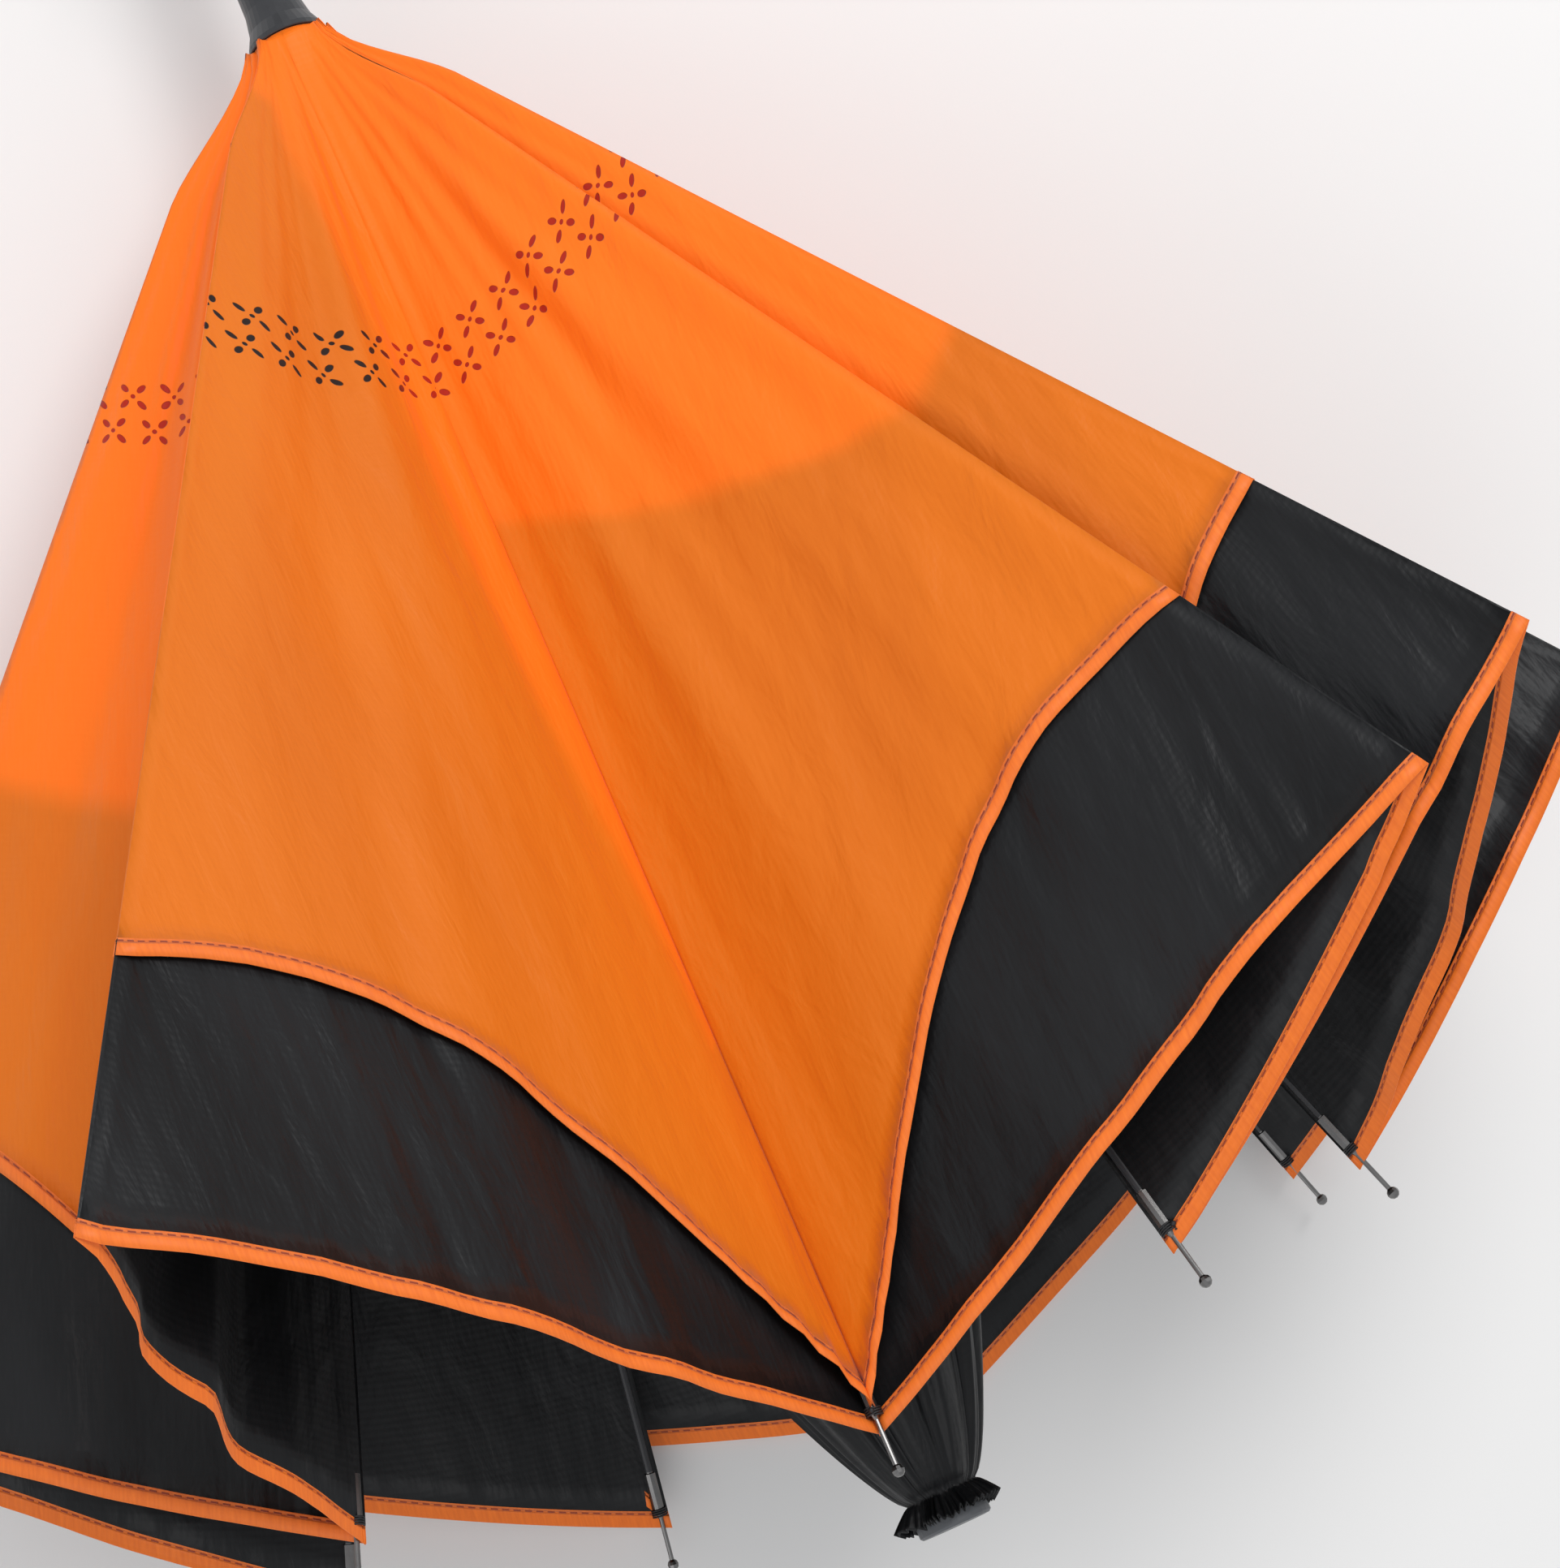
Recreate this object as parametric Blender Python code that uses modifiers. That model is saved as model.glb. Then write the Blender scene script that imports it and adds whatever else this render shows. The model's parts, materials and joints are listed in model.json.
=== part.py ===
"""Reverse-folding umbrella with two canopies, loosely closed and lying on its side.

The shaft runs along +X from the handle to the cap, with the rib hinges at x = 0. Everything hangs
on one empty, which tips the umbrella until its handle and its lowest rib tip lie on one level.
Each canopy is eight gores, and each gore folds along one crease between its two ribs, so a gore is
a half-gore on either rib. Rays from one apex on the shaft's axis give the ribs' and creases' ways.
"""
import math

import bmesh
import bpy
from mathutils import Matrix, Vector

# Shaft, and the places along it
SHAFT_RADIUS = 0.005
SHAFT_WALL = 0.001
HUB_TO_NOTCH = 0.570
NOTCH_TO_CAP_FACE = 0.034
SHAFT_IN_HANDLE = 0.022
GAP = 0.0003
OVERRUN = 0.002

# Slotted rings that carry the hinges, on the runner and at the top of the shaft
RING_RADIUS = 0.013
RING_BORE = SHAFT_RADIUS + GAP
HINGE_RADIUS = 0.011
HINGE_WIRE_RADIUS = 0.0006
RING_BACK = 0.0042
RING_FRONT = 0.0055
SLOT_WIDTH = 0.0026
SLOT_FLOOR = 0.0078

# Ribs: steel tube to the pin, glass-fibre rod beyond it, and a ball-ended tip
RIB_COUNT = 8
RIB_LENGTH = 0.590
RIB_TUBE_RADIUS = 0.0019
RIB_ROD_RADIUS = 0.0015
TONGUE_WIDTH = 0.0020
TONGUE_HEIGHT = 0.0030
TONGUE_LENGTH = 0.014
TUBE_START = 0.0085
EYE_RADIUS = 0.0024
EYE_HOLE_RADIUS = HINGE_WIRE_RADIUS + GAP
FERRULE_RADIUS = 0.0023
FERRULE_LENGTH = 0.016
TIP_LENGTH = 0.020
TIP_NECK_RADIUS = 0.0009
BALL_RADIUS = 0.0022
RIB_TURN_START = math.radians(-10.7)
RIB_FLARES = [math.radians(a) for a in (9, 15, 17.3, 22.5, 14, 15, 20, 21.8)]
OPEN_FLARE = math.radians(107)

# Stretchers, from the top ring to the middle of each rib
MEAN_PIN_DISTANCE = 0.285
PIN_LEAN = math.radians(0.845)
LUG_LENGTH = 0.0060
LUG_BELOW_PIN = 0.0018
STRETCHER_RADIUS = 0.0013
STRETCHER_OFFSET = 0.0035
STRETCHER_BEND_SHARES = (0.64, 0.76)
PAD_RADIUS = 0.0018
PAD_WIDTH = 0.0026
MEAN_FLARE = math.radians(16)

# Runner with its flared collar and release lever
RUNNER_LENGTH = 0.070
RUNNER_RADIUS = 0.0112
RUNNER_WAIST_RADIUS = 0.0106
COLLAR_RADIUS = 0.0157
COLLAR_LENGTH = 0.016
COLLAR_LIP = 0.0022
LEVER_LENGTH = 0.026
LEVER_WIDTH = 0.006
LEVER_HEIGHT = 0.0066
LEVER_INNER = 0.0076
LEVER_FROM_BACK = 0.022
LEVER_ROUNDING = 0.0012

# Handle: a round neck and an open ring to hang on a wrist
NECK_RADIUS = 0.0117
NECK_LENGTH = 0.030
GRIP_RADIUS = 0.0125
GRIP_RING_RADIUS = 0.044
GRIP_START = math.radians(50)
GRIP_SWEEP = math.radians(285)
GRIP_POINTS = 31
GRIP_END_SHARES = (0.55, 0.86, 0.98)

# Cap on the end of the shaft
CAP_RADIUS = 0.0135
CAP_RIM = 0.0045
CAP_BOSS_RADIUS = 0.0085
CAP_CHAMFER = 0.0008
CAP_ROOF = 0.004

# Canopies: the inner one lies outside when closed, the outer one inside it
CLOTH = 0.0005
GORE_ANGLE = math.radians(43.2)
FOLD_SHARES = (0.620, 0.502, 0.417, 0.322, 0.6265, 0.627, 0.497, 0.360)
RIB_SEAM = 0.0040
CREASE_GAP = 0.0002
LAYER_GAP = 0.0011
LEAST_EDGE = 0.004
RAY_DRIFT = 0.0025
INNER_START = 0.058
INNER_RIB_SHARE = 0.935
INNER_MIDDLE_SHARE = 0.750
INNER_HEM_POWER = 2.2
OUTER_START = 0.335
OUTER_RIB_SHARE = 0.965
OUTER_MIDDLE_SHARE = 0.925
OUTER_HEM_POWER = 1.6
HEM_POINTS = 12

# Gathered sleeve of the outer canopy, from the cap down round the stretchers
SLEEVE_LENGTH = 0.095
SLEEVE_SLOPE_SHARE = 0.40
SLEEVE_FLUTES = 12
SLEEVE_FLUTE_SHARE = 0.05
SLEEVE_CAP_LAP = 0.006
SLEEVE_SIDES = 48
SLEEVE_RINGS = 8

APEX_X = -HINGE_RADIUS / math.tan(MEAN_FLARE)
NOTCH_X = HUB_TO_NOTCH
CAP_FACE_X = NOTCH_X + NOTCH_TO_CAP_FACE
COLLAR_FACE_X = -RING_BACK - GAP
RUNNER_BACK_X = COLLAR_FACE_X - RUNNER_LENGTH
NECK_FRONT_X = RUNNER_BACK_X - GAP
GRIP_CENTRE_X = NECK_FRONT_X - NECK_LENGTH - GRIP_RING_RADIUS + GRIP_RADIUS / 2
SHAFT_START_X = NECK_FRONT_X - SHAFT_IN_HANDLE
SHAFT_END_X = CAP_FACE_X - CAP_ROOF - GAP


def remove_everything():
    for obj in list(bpy.data.objects):
        bpy.data.objects.remove(obj, do_unlink=True)


def make_collection(name):
    collection = bpy.data.collections.new(name)
    bpy.context.scene.collection.children.link(collection)
    return collection


def make_material(name, colour, roughness, metallic):
    material = bpy.data.materials.new(name)
    material.use_nodes = True
    shader = material.node_tree.nodes["Principled BSDF"]
    shader.inputs["Base Color"].default_value = (*colour, 1)
    shader.inputs["Roughness"].default_value = roughness
    shader.inputs["Metallic"].default_value = metallic
    return material


remove_everything()
PARTS = make_collection("umbrella")
CUTTERS = make_collection("cutters")
BLACK_PLASTIC = make_material("black_plastic", (0.035, 0.035, 0.038), 0.45, 0)
LEVER_PLASTIC = make_material("lever_plastic", (0.012, 0.012, 0.013), 0.22, 0)
SHAFT_STEEL = make_material("shaft_steel", (0.09, 0.09, 0.10), 0.35, 1)
RIB_STEEL = make_material("rib_steel", (0.12, 0.12, 0.13), 0.35, 1)
WIRE_STEEL = make_material("wire_steel", (0.55, 0.55, 0.55), 0.3, 1)
ORANGE_CLOTH = make_material("orange_cloth", (0.95, 0.16, 0.01), 0.6, 0)
BLACK_CLOTH = make_material("black_cloth", (0.022, 0.023, 0.026), 0.65, 0)


def radial(turn):
    """Outward from the shaft: straight up at 0, towards +Y as it grows."""
    return Vector((0, math.sin(turn), math.cos(turn)))


def rib_turn(i):
    return RIB_TURN_START + i * 2 * math.pi / RIB_COUNT


def rib_way(i, flare):
    return math.cos(flare) * Vector((1, 0, 0)) + math.sin(flare) * radial(rib_turn(i))


def rib_frame(i, flare):
    """A rib's own axes: X along it, Y along its hinge, Z towards the shaft."""
    along = rib_way(i, flare)
    hinge = Vector((1, 0, 0)).cross(radial(rib_turn(i)))
    return axes_at(radial(rib_turn(i)) * HINGE_RADIUS, along, hinge, along.cross(hinge))


def axes_at(place, x_axis, y_axis, z_axis):
    matrix = Matrix((x_axis, y_axis, z_axis)).transposed().to_4x4()
    matrix.translation = place
    return matrix


def rib_tip(i):
    return rib_frame(i, RIB_FLARES[i]) @ Vector((RIB_LENGTH, 0, 0))


def runner_travel():
    """How far the runner slides until ribs of the mean flare are spread open."""
    rest, spread = MEAN_FLARE - PIN_LEAN, OPEN_FLARE - PIN_LEAN
    along, out = MEAN_PIN_DISTANCE * math.cos(rest), MEAN_PIN_DISTANCE * math.sin(rest)
    length = math.hypot(NOTCH_X - along, out)
    reach = math.sqrt(length ** 2 - (MEAN_PIN_DISTANCE * math.sin(spread)) ** 2)
    return NOTCH_X - MEAN_PIN_DISTANCE * math.cos(spread) - reach


def pin_distance(i):
    """Hinge to pin, such that one stretcher fits both at rest and spread open."""
    rest, spread = RIB_FLARES[i] - PIN_LEAN, OPEN_FLARE - PIN_LEAN
    left = NOTCH_X - runner_travel()
    return (NOTCH_X ** 2 - left ** 2) / 2 / (NOTCH_X * math.cos(rest) - left * math.cos(spread))


def pin_in_rib(i):
    distance = pin_distance(i)
    return Vector((distance * math.cos(PIN_LEAN), 0, distance * math.sin(PIN_LEAN)))


def pin_place(i):
    """The stretcher's pin at rest, as (x, height over the hinge) in its own radial plane."""
    distance, rest = pin_distance(i), RIB_FLARES[i] - PIN_LEAN
    return distance * math.cos(rest), distance * math.sin(rest)


def stretcher_length(i):
    along, out = pin_place(i)
    return math.hypot(NOTCH_X - along, out)


def stretcher_lean(i):
    """Angle of a stretcher at rest from the way back down the shaft."""
    along, out = pin_place(i)
    return math.atan2(out, NOTCH_X - along)


def lying_tilt():
    """Tilt at which the lowest rib tip and the grip touch one level."""
    lowest = min((rib_tip(i) for i in range(RIB_COUNT)), key=lambda tip: tip.z)
    run = lowest.x - GRIP_CENTRE_X
    drop = -lowest.z
    rise = BALL_RADIUS - GRIP_RING_RADIUS - GRIP_RADIUS
    return math.atan2(drop, run) + math.asin(rise / math.hypot(run, drop))


def place_in(collection, name, data, material, matrix=Matrix()):
    obj = bpy.data.objects.new(name, data)
    collection.objects.link(obj)
    if not data.materials:
        data.materials.append(material)
    if collection == PARTS:
        obj.parent = UMBRELLA
    obj.matrix_local = matrix
    return obj


def make_umbrella_empty():
    empty = bpy.data.objects.new("umbrella_lying", None)
    PARTS.objects.link(empty)
    empty.rotation_euler = (0, -lying_tilt(), 0)
    return empty


UMBRELLA = make_umbrella_empty()
ALONG_SHAFT = Matrix.Rotation(math.pi / 2, 4, "Y")


def profile_mesh(name, profile, closed, sides):
    """A mesh turned from (radius, height) points, which run down the outer side."""
    mesh = bpy.data.meshes.new(name)
    count = len(profile)
    edges = [(k, k + 1) for k in range(count - 1)]
    if closed:
        edges.append((count - 1, 0))
    mesh.from_pydata([(radius, 0, height) for radius, height in profile], edges, [])
    helper = bpy.data.objects.new(name, mesh)
    CUTTERS.objects.link(helper)
    turn = helper.modifiers.new("turn", "SCREW")
    turn.steps = turn.render_steps = sides
    turn.use_merge_vertices = True
    turn.merge_threshold = 0.00001
    return settled(helper)


def settled(helper):
    """The evaluated mesh of a helper object, which is then removed."""
    graph = bpy.context.evaluated_depsgraph_get()
    mesh = bpy.data.meshes.new_from_object(helper.evaluated_get(graph))
    work = bmesh.new()
    work.from_mesh(mesh)
    bmesh.ops.remove_doubles(work, verts=work.verts, dist=0.00001)
    work.to_mesh(mesh)
    work.free()
    mesh.shade_smooth()
    mesh.set_sharp_from_angle(angle=math.radians(35))
    bpy.data.objects.remove(helper, do_unlink=True)
    return mesh


def block_mesh(name, blocks):
    """One mesh of boxes, each given by its size and its matrix."""
    work = bmesh.new()
    for size, matrix in blocks:
        bmesh.ops.create_cube(work, size=1, matrix=matrix @ Matrix.Diagonal((*size, 1)))
    mesh = bpy.data.meshes.new(name)
    work.to_mesh(mesh)
    work.free()
    return mesh


def rod_mesh(name, radius, length, centre, sides=12):
    """A round rod along the local Y axis, centred."""
    work = bmesh.new()
    matrix = Matrix.Translation(centre) @ Matrix.Rotation(math.pi / 2, 4, "X")
    bmesh.ops.create_cone(
        work, cap_ends=True, segments=sides, radius1=radius, radius2=radius, depth=length, matrix=matrix)
    mesh = bpy.data.meshes.new(name)
    work.to_mesh(mesh)
    work.free()
    return mesh


def combined(base_mesh, steps):
    """base_mesh joined with or cut by each (operation, mesh) in turn."""
    base = bpy.data.objects.new("base", base_mesh)
    CUTTERS.objects.link(base)
    tools = []
    for operation, tool_mesh in steps:
        tool = bpy.data.objects.new("tool", tool_mesh)
        CUTTERS.objects.link(tool)
        step = base.modifiers.new(operation, "BOOLEAN")
        step.operation = operation
        step.object = tool
        tools.append(tool)
    mesh = settled(base)
    for tool in tools:
        bpy.data.objects.remove(tool, do_unlink=True)
    return mesh


def torus_mesh(name, major, minor, major_sides, minor_sides):
    """A ring round the local Z axis, turned from a circle of points."""
    circle = []
    for k in range(minor_sides):
        angle = math.pi / 2 - k * 2 * math.pi / minor_sides
        circle.append((major + minor * math.cos(angle), minor * math.sin(angle)))
    return profile_mesh(name, circle, True, major_sides)


def tube_profile(inner, outer, low, high):
    return [(inner, high), (outer, high), (outer, low), (inner, low)]


def make_shaft():
    profile = tube_profile(SHAFT_RADIUS - SHAFT_WALL, SHAFT_RADIUS, SHAFT_START_X, SHAFT_END_X)
    place_in(PARTS, "shaft", profile_mesh("shaft", profile, True, 24), SHAFT_STEEL, ALONG_SHAFT)


def slotted_ring_mesh(name):
    """A ring with one slot for each rib and a round channel for the hinge wire."""
    ring = profile_mesh(name, tube_profile(RING_BORE, RING_RADIUS, -RING_BACK, RING_FRONT), True, 48)
    depth = RING_RADIUS + OVERRUN - SLOT_FLOOR
    height = RING_BACK + RING_FRONT + 2 * OVERRUN
    slots = []
    for i in range(RIB_COUNT):
        out = ALONG_SHAFT.inverted() @ radial(rib_turn(i))
        across = Vector((0, 0, 1)).cross(out)
        matrix = axes_at(out * (SLOT_FLOOR + depth / 2), out, across, Vector((0, 0, 1)))
        slots.append(((depth, SLOT_WIDTH, height), matrix))
    channel = torus_mesh("channel", HINGE_RADIUS, EYE_HOLE_RADIUS, 48, 8)
    return combined(ring, [("DIFFERENCE", block_mesh("slots", slots)), ("DIFFERENCE", channel)])


def make_hinge_rings():
    ring = slotted_ring_mesh("hinge_ring")
    wire = torus_mesh("hinge_wire", HINGE_RADIUS, HINGE_WIRE_RADIUS, 48, 6)
    place_in(PARTS, "runner_hinge_ring", ring, BLACK_PLASTIC, ALONG_SHAFT)
    place_in(PARTS, "runner_hinge_wire", wire, WIRE_STEEL, ALONG_SHAFT)
    at_top = Matrix.Translation((NOTCH_X, 0, 0)) @ ALONG_SHAFT
    place_in(PARTS, "top_hinge_ring", ring.copy(), BLACK_PLASTIC, at_top)
    place_in(PARTS, "top_hinge_wire", wire.copy(), WIRE_STEEL, at_top)


def make_cap():
    low = RING_FRONT + GAP
    profile = [
        (0, NOTCH_TO_CAP_FACE),
        (CAP_RADIUS - CAP_CHAMFER, NOTCH_TO_CAP_FACE),
        (CAP_RADIUS, NOTCH_TO_CAP_FACE - CAP_CHAMFER),
        (CAP_RADIUS, NOTCH_TO_CAP_FACE - CAP_RIM),
        (CAP_BOSS_RADIUS, NOTCH_TO_CAP_FACE - CAP_RIM - CAP_CHAMFER),
        (CAP_BOSS_RADIUS, low),
        (RING_BORE, low),
        (RING_BORE, NOTCH_TO_CAP_FACE - CAP_ROOF),
        (0, NOTCH_TO_CAP_FACE - CAP_ROOF),
    ]
    at_top = Matrix.Translation((NOTCH_X, 0, 0)) @ ALONG_SHAFT
    place_in(PARTS, "top_cap", profile_mesh("top_cap", profile, False, 32), BLACK_PLASTIC, at_top)


def lever_matrix():
    """The lever's centre, on the side of the runner, with its height pointing outwards."""
    out = Vector((0, -1, 0))
    centre = Vector((RUNNER_BACK_X + LEVER_FROM_BACK, 0, 0)) + out * (LEVER_INNER + LEVER_HEIGHT / 2)
    along = Vector((1, 0, 0))
    return axes_at(centre, along, out.cross(along), out)


def make_runner():
    face, back = COLLAR_FACE_X, RUNNER_BACK_X
    profile = [
        (RING_BORE, face),
        (COLLAR_RADIUS - GAP, face),
        (COLLAR_RADIUS, face - GAP),
        (COLLAR_RADIUS - GAP, face - COLLAR_LIP),
        (RUNNER_RADIUS + (COLLAR_RADIUS - RUNNER_RADIUS) / 3, face - COLLAR_LENGTH / 2),
        (RUNNER_RADIUS, face - COLLAR_LENGTH),
        (RUNNER_WAIST_RADIUS, (face + back) / 2),
        (RUNNER_RADIUS, back + COLLAR_LIP),
        (RUNNER_RADIUS - COLLAR_LIP / 2, back),
        (RING_BORE, back),
    ]
    body = profile_mesh("runner", profile, True, 32)
    recess_size = (LEVER_LENGTH + 2 * GAP, LEVER_WIDTH + 2 * GAP, LEVER_HEIGHT + LEVER_INNER)
    sink = Matrix.Translation((0, 0, -LEVER_INNER / 2 + SHAFT_WALL))
    recess = block_mesh("recess", [(recess_size, ALONG_SHAFT.inverted() @ lever_matrix() @ sink)])
    place_in(PARTS, "runner", combined(body, [("DIFFERENCE", recess)]), BLACK_PLASTIC, ALONG_SHAFT)


def make_release_lever():
    mesh = block_mesh("release_lever", [((LEVER_LENGTH, LEVER_WIDTH, LEVER_HEIGHT), Matrix())])
    lever = place_in(PARTS, "release_lever", mesh, LEVER_PLASTIC, lever_matrix())
    rounding = lever.modifiers.new("rounding", "BEVEL")
    rounding.width = LEVER_ROUNDING
    rounding.segments = 2


def grip_curve_mesh():
    """An open ring of round section with tapered ends, in the upright plane of the shaft."""
    curve = bpy.data.curves.new("grip", "CURVE")
    curve.dimensions = "3D"
    curve.bevel_depth = GRIP_RADIUS
    curve.bevel_resolution = 4
    curve.use_fill_caps = True
    line = curve.splines.new("POLY")
    line.points.add(GRIP_POINTS - 1)
    ends = len(GRIP_END_SHARES)
    for k, point in enumerate(line.points):
        share = k / (GRIP_POINTS - 1)
        angle = GRIP_START - share * GRIP_SWEEP
        point.co = (
            GRIP_CENTRE_X + GRIP_RING_RADIUS * math.cos(angle), 0, GRIP_RING_RADIUS * math.sin(angle), 1)
        from_end = min(k, GRIP_POINTS - 1 - k)
        point.radius = GRIP_END_SHARES[from_end] if from_end < ends else 1
    helper = bpy.data.objects.new("grip", curve)
    CUTTERS.objects.link(helper)
    return settled(helper)


def make_handle():
    front, back = NECK_FRONT_X, NECK_FRONT_X - NECK_LENGTH
    profile = [
        (0, front),
        (NECK_RADIUS - OVERRUN, front),
        (NECK_RADIUS, front - OVERRUN),
        (NECK_RADIUS, back),
        (0, back),
    ]
    neck = profile_mesh("neck", profile, False, 32)
    neck.transform(ALONG_SHAFT)
    socket_profile = [
        (0, front + OVERRUN),
        (SHAFT_RADIUS + GAP, front + OVERRUN),
        (SHAFT_RADIUS + GAP, SHAFT_START_X - GAP),
        (0, SHAFT_START_X - GAP),
    ]
    socket = profile_mesh("socket", socket_profile, False, 24)
    socket.transform(ALONG_SHAFT)
    mesh = combined(neck, [("UNION", grip_curve_mesh()), ("DIFFERENCE", socket)])
    place_in(PARTS, "handle", mesh, BLACK_PLASTIC)


def hinge_end_mesh(steps):
    """A flat tongue with a bored eye at the origin, joined with the meshes of the steps."""
    size = (TONGUE_LENGTH, TONGUE_WIDTH, TONGUE_HEIGHT)
    tongue = block_mesh("tongue", [(size, Matrix.Translation((TONGUE_LENGTH / 2, 0, 0)))])
    eye = rod_mesh("eye", EYE_RADIUS, TONGUE_WIDTH, (0, 0, 0))
    hole = rod_mesh("hole", EYE_HOLE_RADIUS, TONGUE_WIDTH + OVERRUN, (0, 0, 0), 8)
    return combined(eye, [("UNION", tongue), *steps, ("DIFFERENCE", hole)])


def rib_mesh(i):
    """A rib along +X from its hinge: tube, lug for the stretcher, rod, ferrule and ball."""
    pin = pin_in_rib(i)
    ferrule_end = RIB_LENGTH - TIP_LENGTH
    profile = [
        (0, TUBE_START),
        (RIB_TUBE_RADIUS * 3 / 4, TUBE_START),
        (RIB_TUBE_RADIUS, TONGUE_LENGTH - GAP),
        (RIB_TUBE_RADIUS, pin.x + TONGUE_LENGTH),
        (RIB_ROD_RADIUS, pin.x + TONGUE_LENGTH + OVERRUN),
        (RIB_ROD_RADIUS, ferrule_end - FERRULE_LENGTH),
        (FERRULE_RADIUS, ferrule_end - FERRULE_LENGTH + GAP),
        (FERRULE_RADIUS, ferrule_end - OVERRUN),
        (TIP_NECK_RADIUS, ferrule_end + OVERRUN),
    ]
    turns = 5
    first = math.asin(TIP_NECK_RADIUS / BALL_RADIUS)
    for k in range(turns + 1):
        angle = first + (math.pi - first) * k / turns
        profile.append((BALL_RADIUS * math.sin(angle), RIB_LENGTH - BALL_RADIUS * math.cos(angle)))
    profile[-1] = (0, RIB_LENGTH + BALL_RADIUS)
    profile.reverse()
    rod = profile_mesh("rib", profile, False, 10)
    rod.transform(ALONG_SHAFT)
    height = pin.z + LUG_BELOW_PIN
    place = Matrix.Translation((pin.x, 0, height / 2))
    lug = block_mesh("lug", [((LUG_LENGTH, 2 * RIB_TUBE_RADIUS, height), place)])
    return hinge_end_mesh([("UNION", rod), ("UNION", lug)])


def make_ribs():
    for i in range(RIB_COUNT):
        place_in(PARTS, f"rib_{i + 1}", rib_mesh(i), RIB_STEEL, rib_frame(i, RIB_FLARES[i]))


def stretcher_mesh(i):
    """A stretcher along +X from its hinge, stepped aside so that its end lies beside the lug."""
    length = stretcher_length(i)
    curve = bpy.data.curves.new("stretcher", "CURVE")
    curve.dimensions = "3D"
    curve.bevel_depth = STRETCHER_RADIUS
    curve.bevel_resolution = 2
    curve.use_fill_caps = True
    bend_start, bend_end = (share * length for share in STRETCHER_BEND_SHARES)
    route = [
        (TUBE_START, 0),
        (bend_start, 0),
        (bend_end, STRETCHER_OFFSET),
        (length, STRETCHER_OFFSET),
    ]
    line = curve.splines.new("POLY")
    line.points.add(len(route) - 1)
    for point, (along, aside) in zip(line.points, route):
        point.co = (along, aside, 0, 1)
    helper = bpy.data.objects.new("stretcher", curve)
    CUTTERS.objects.link(helper)
    bar = settled(helper)
    pad = rod_mesh("pad", PAD_RADIUS, PAD_WIDTH, (length, STRETCHER_OFFSET, 0), 10)
    return hinge_end_mesh([("UNION", bar), ("UNION", pad)])


def stretcher_frame(i):
    """A stretcher's own axes: X towards its rib's pin, Y along its hinge."""
    lean = stretcher_lean(i)
    outward = radial(rib_turn(i))
    way = math.sin(lean) * outward - math.cos(lean) * Vector((1, 0, 0))
    hinge = Vector((1, 0, 0)).cross(outward)
    place = Vector((NOTCH_X, 0, 0)) + outward * HINGE_RADIUS
    return axes_at(place, way, hinge, way.cross(hinge))


def make_stretchers():
    for i in range(RIB_COUNT):
        place_in(PARTS, f"stretcher_{i + 1}", stretcher_mesh(i), RIB_STEEL, stretcher_frame(i))


def apex():
    return Vector((APEX_X, 0, 0))


def rib_ray(i):
    return (rib_tip(i % RIB_COUNT) - apex()).normalized()


def crease_ray(i):
    """The way of the crease between rib i and the next, folded outwards from the two."""
    first, second = rib_ray(i), rib_ray(i + 1)
    share = FOLD_SHARES[i]
    near, far = math.cos(share * GORE_ANGLE), math.cos((1 - share) * GORE_ANGLE)
    dot = first.dot(second)
    square = 1 - dot * dot
    flat = first * ((near - dot * far) / square) + second * ((far - dot * near) / square)
    lift = math.sqrt(1 - flat.length_squared)
    return (flat + first.cross(second).normalized() * lift).normalized()


def half_gore_frame(rib, crease, other):
    """Axes of one half-gore: X along its rib, Y towards its crease, Z to the fold's inner side."""
    across = (crease - rib * crease.dot(rib)).normalized()
    normal = rib.cross(across)
    side = 1 if normal.dot(other - rib) > 0 else -1
    return axes_at(apex(), rib, across, normal), side


def fold_half_angle(rib, crease, other):
    """Half the angle between a gore's two halves, at their crease."""
    first = (rib - crease * rib.dot(crease)).normalized()
    second = (other - crease * other.dot(crease)).normalized()
    return first.angle(second) / 2


def least_seam(i):
    """How far beside its rib each half-gore must end, to stay clear of the rib's other one."""
    rib = rib_ray(i)
    ways = []
    for crease in (crease_ray(i), crease_ray((i - 1) % RIB_COUNT)):
        ways.append((crease - rib * crease.dot(rib)).normalized())
    return (CLOTH + GAP) / 2 / math.sin(ways[0].angle(ways[1]) / 2)


def hem_distance(position, rib_share, middle_share, power):
    """Distance of the hem from the apex, at a position from 0 to 1 across the gore."""
    reach = rib_tip(0) - apex()
    from_middle = abs(2 * position - 1) ** power
    return reach.length * (middle_share + (rib_share - middle_share) * from_middle)


def clear_start(rib, crease, start, needed):
    """Where a half-gore may begin, so that it passes every rib that it lies over."""
    across = (crease - rib * crease.dot(rib)).normalized()
    normal = rib.cross(across)
    widest = rib.angle(crease)
    for k in range(RIB_COUNT):
        ray = rib_ray(k)
        if ray.angle(rib) < GAP:
            continue
        height = abs(ray.dot(normal))
        around = math.atan2(ray.dot(across), ray.dot(rib))
        if 0 < around < widest and height < needed / start:
            start = needed / height
    return start


def start_seam(i):
    """The seam's distance near the hub, where a rib lies off its ray."""
    drift = (radial(rib_turn(i)) * HINGE_RADIUS - apex()).cross(rib_ray(i)).length
    return max(RIB_SEAM, drift + RIB_TUBE_RADIUS + CLOTH + 2 * GAP)


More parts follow.
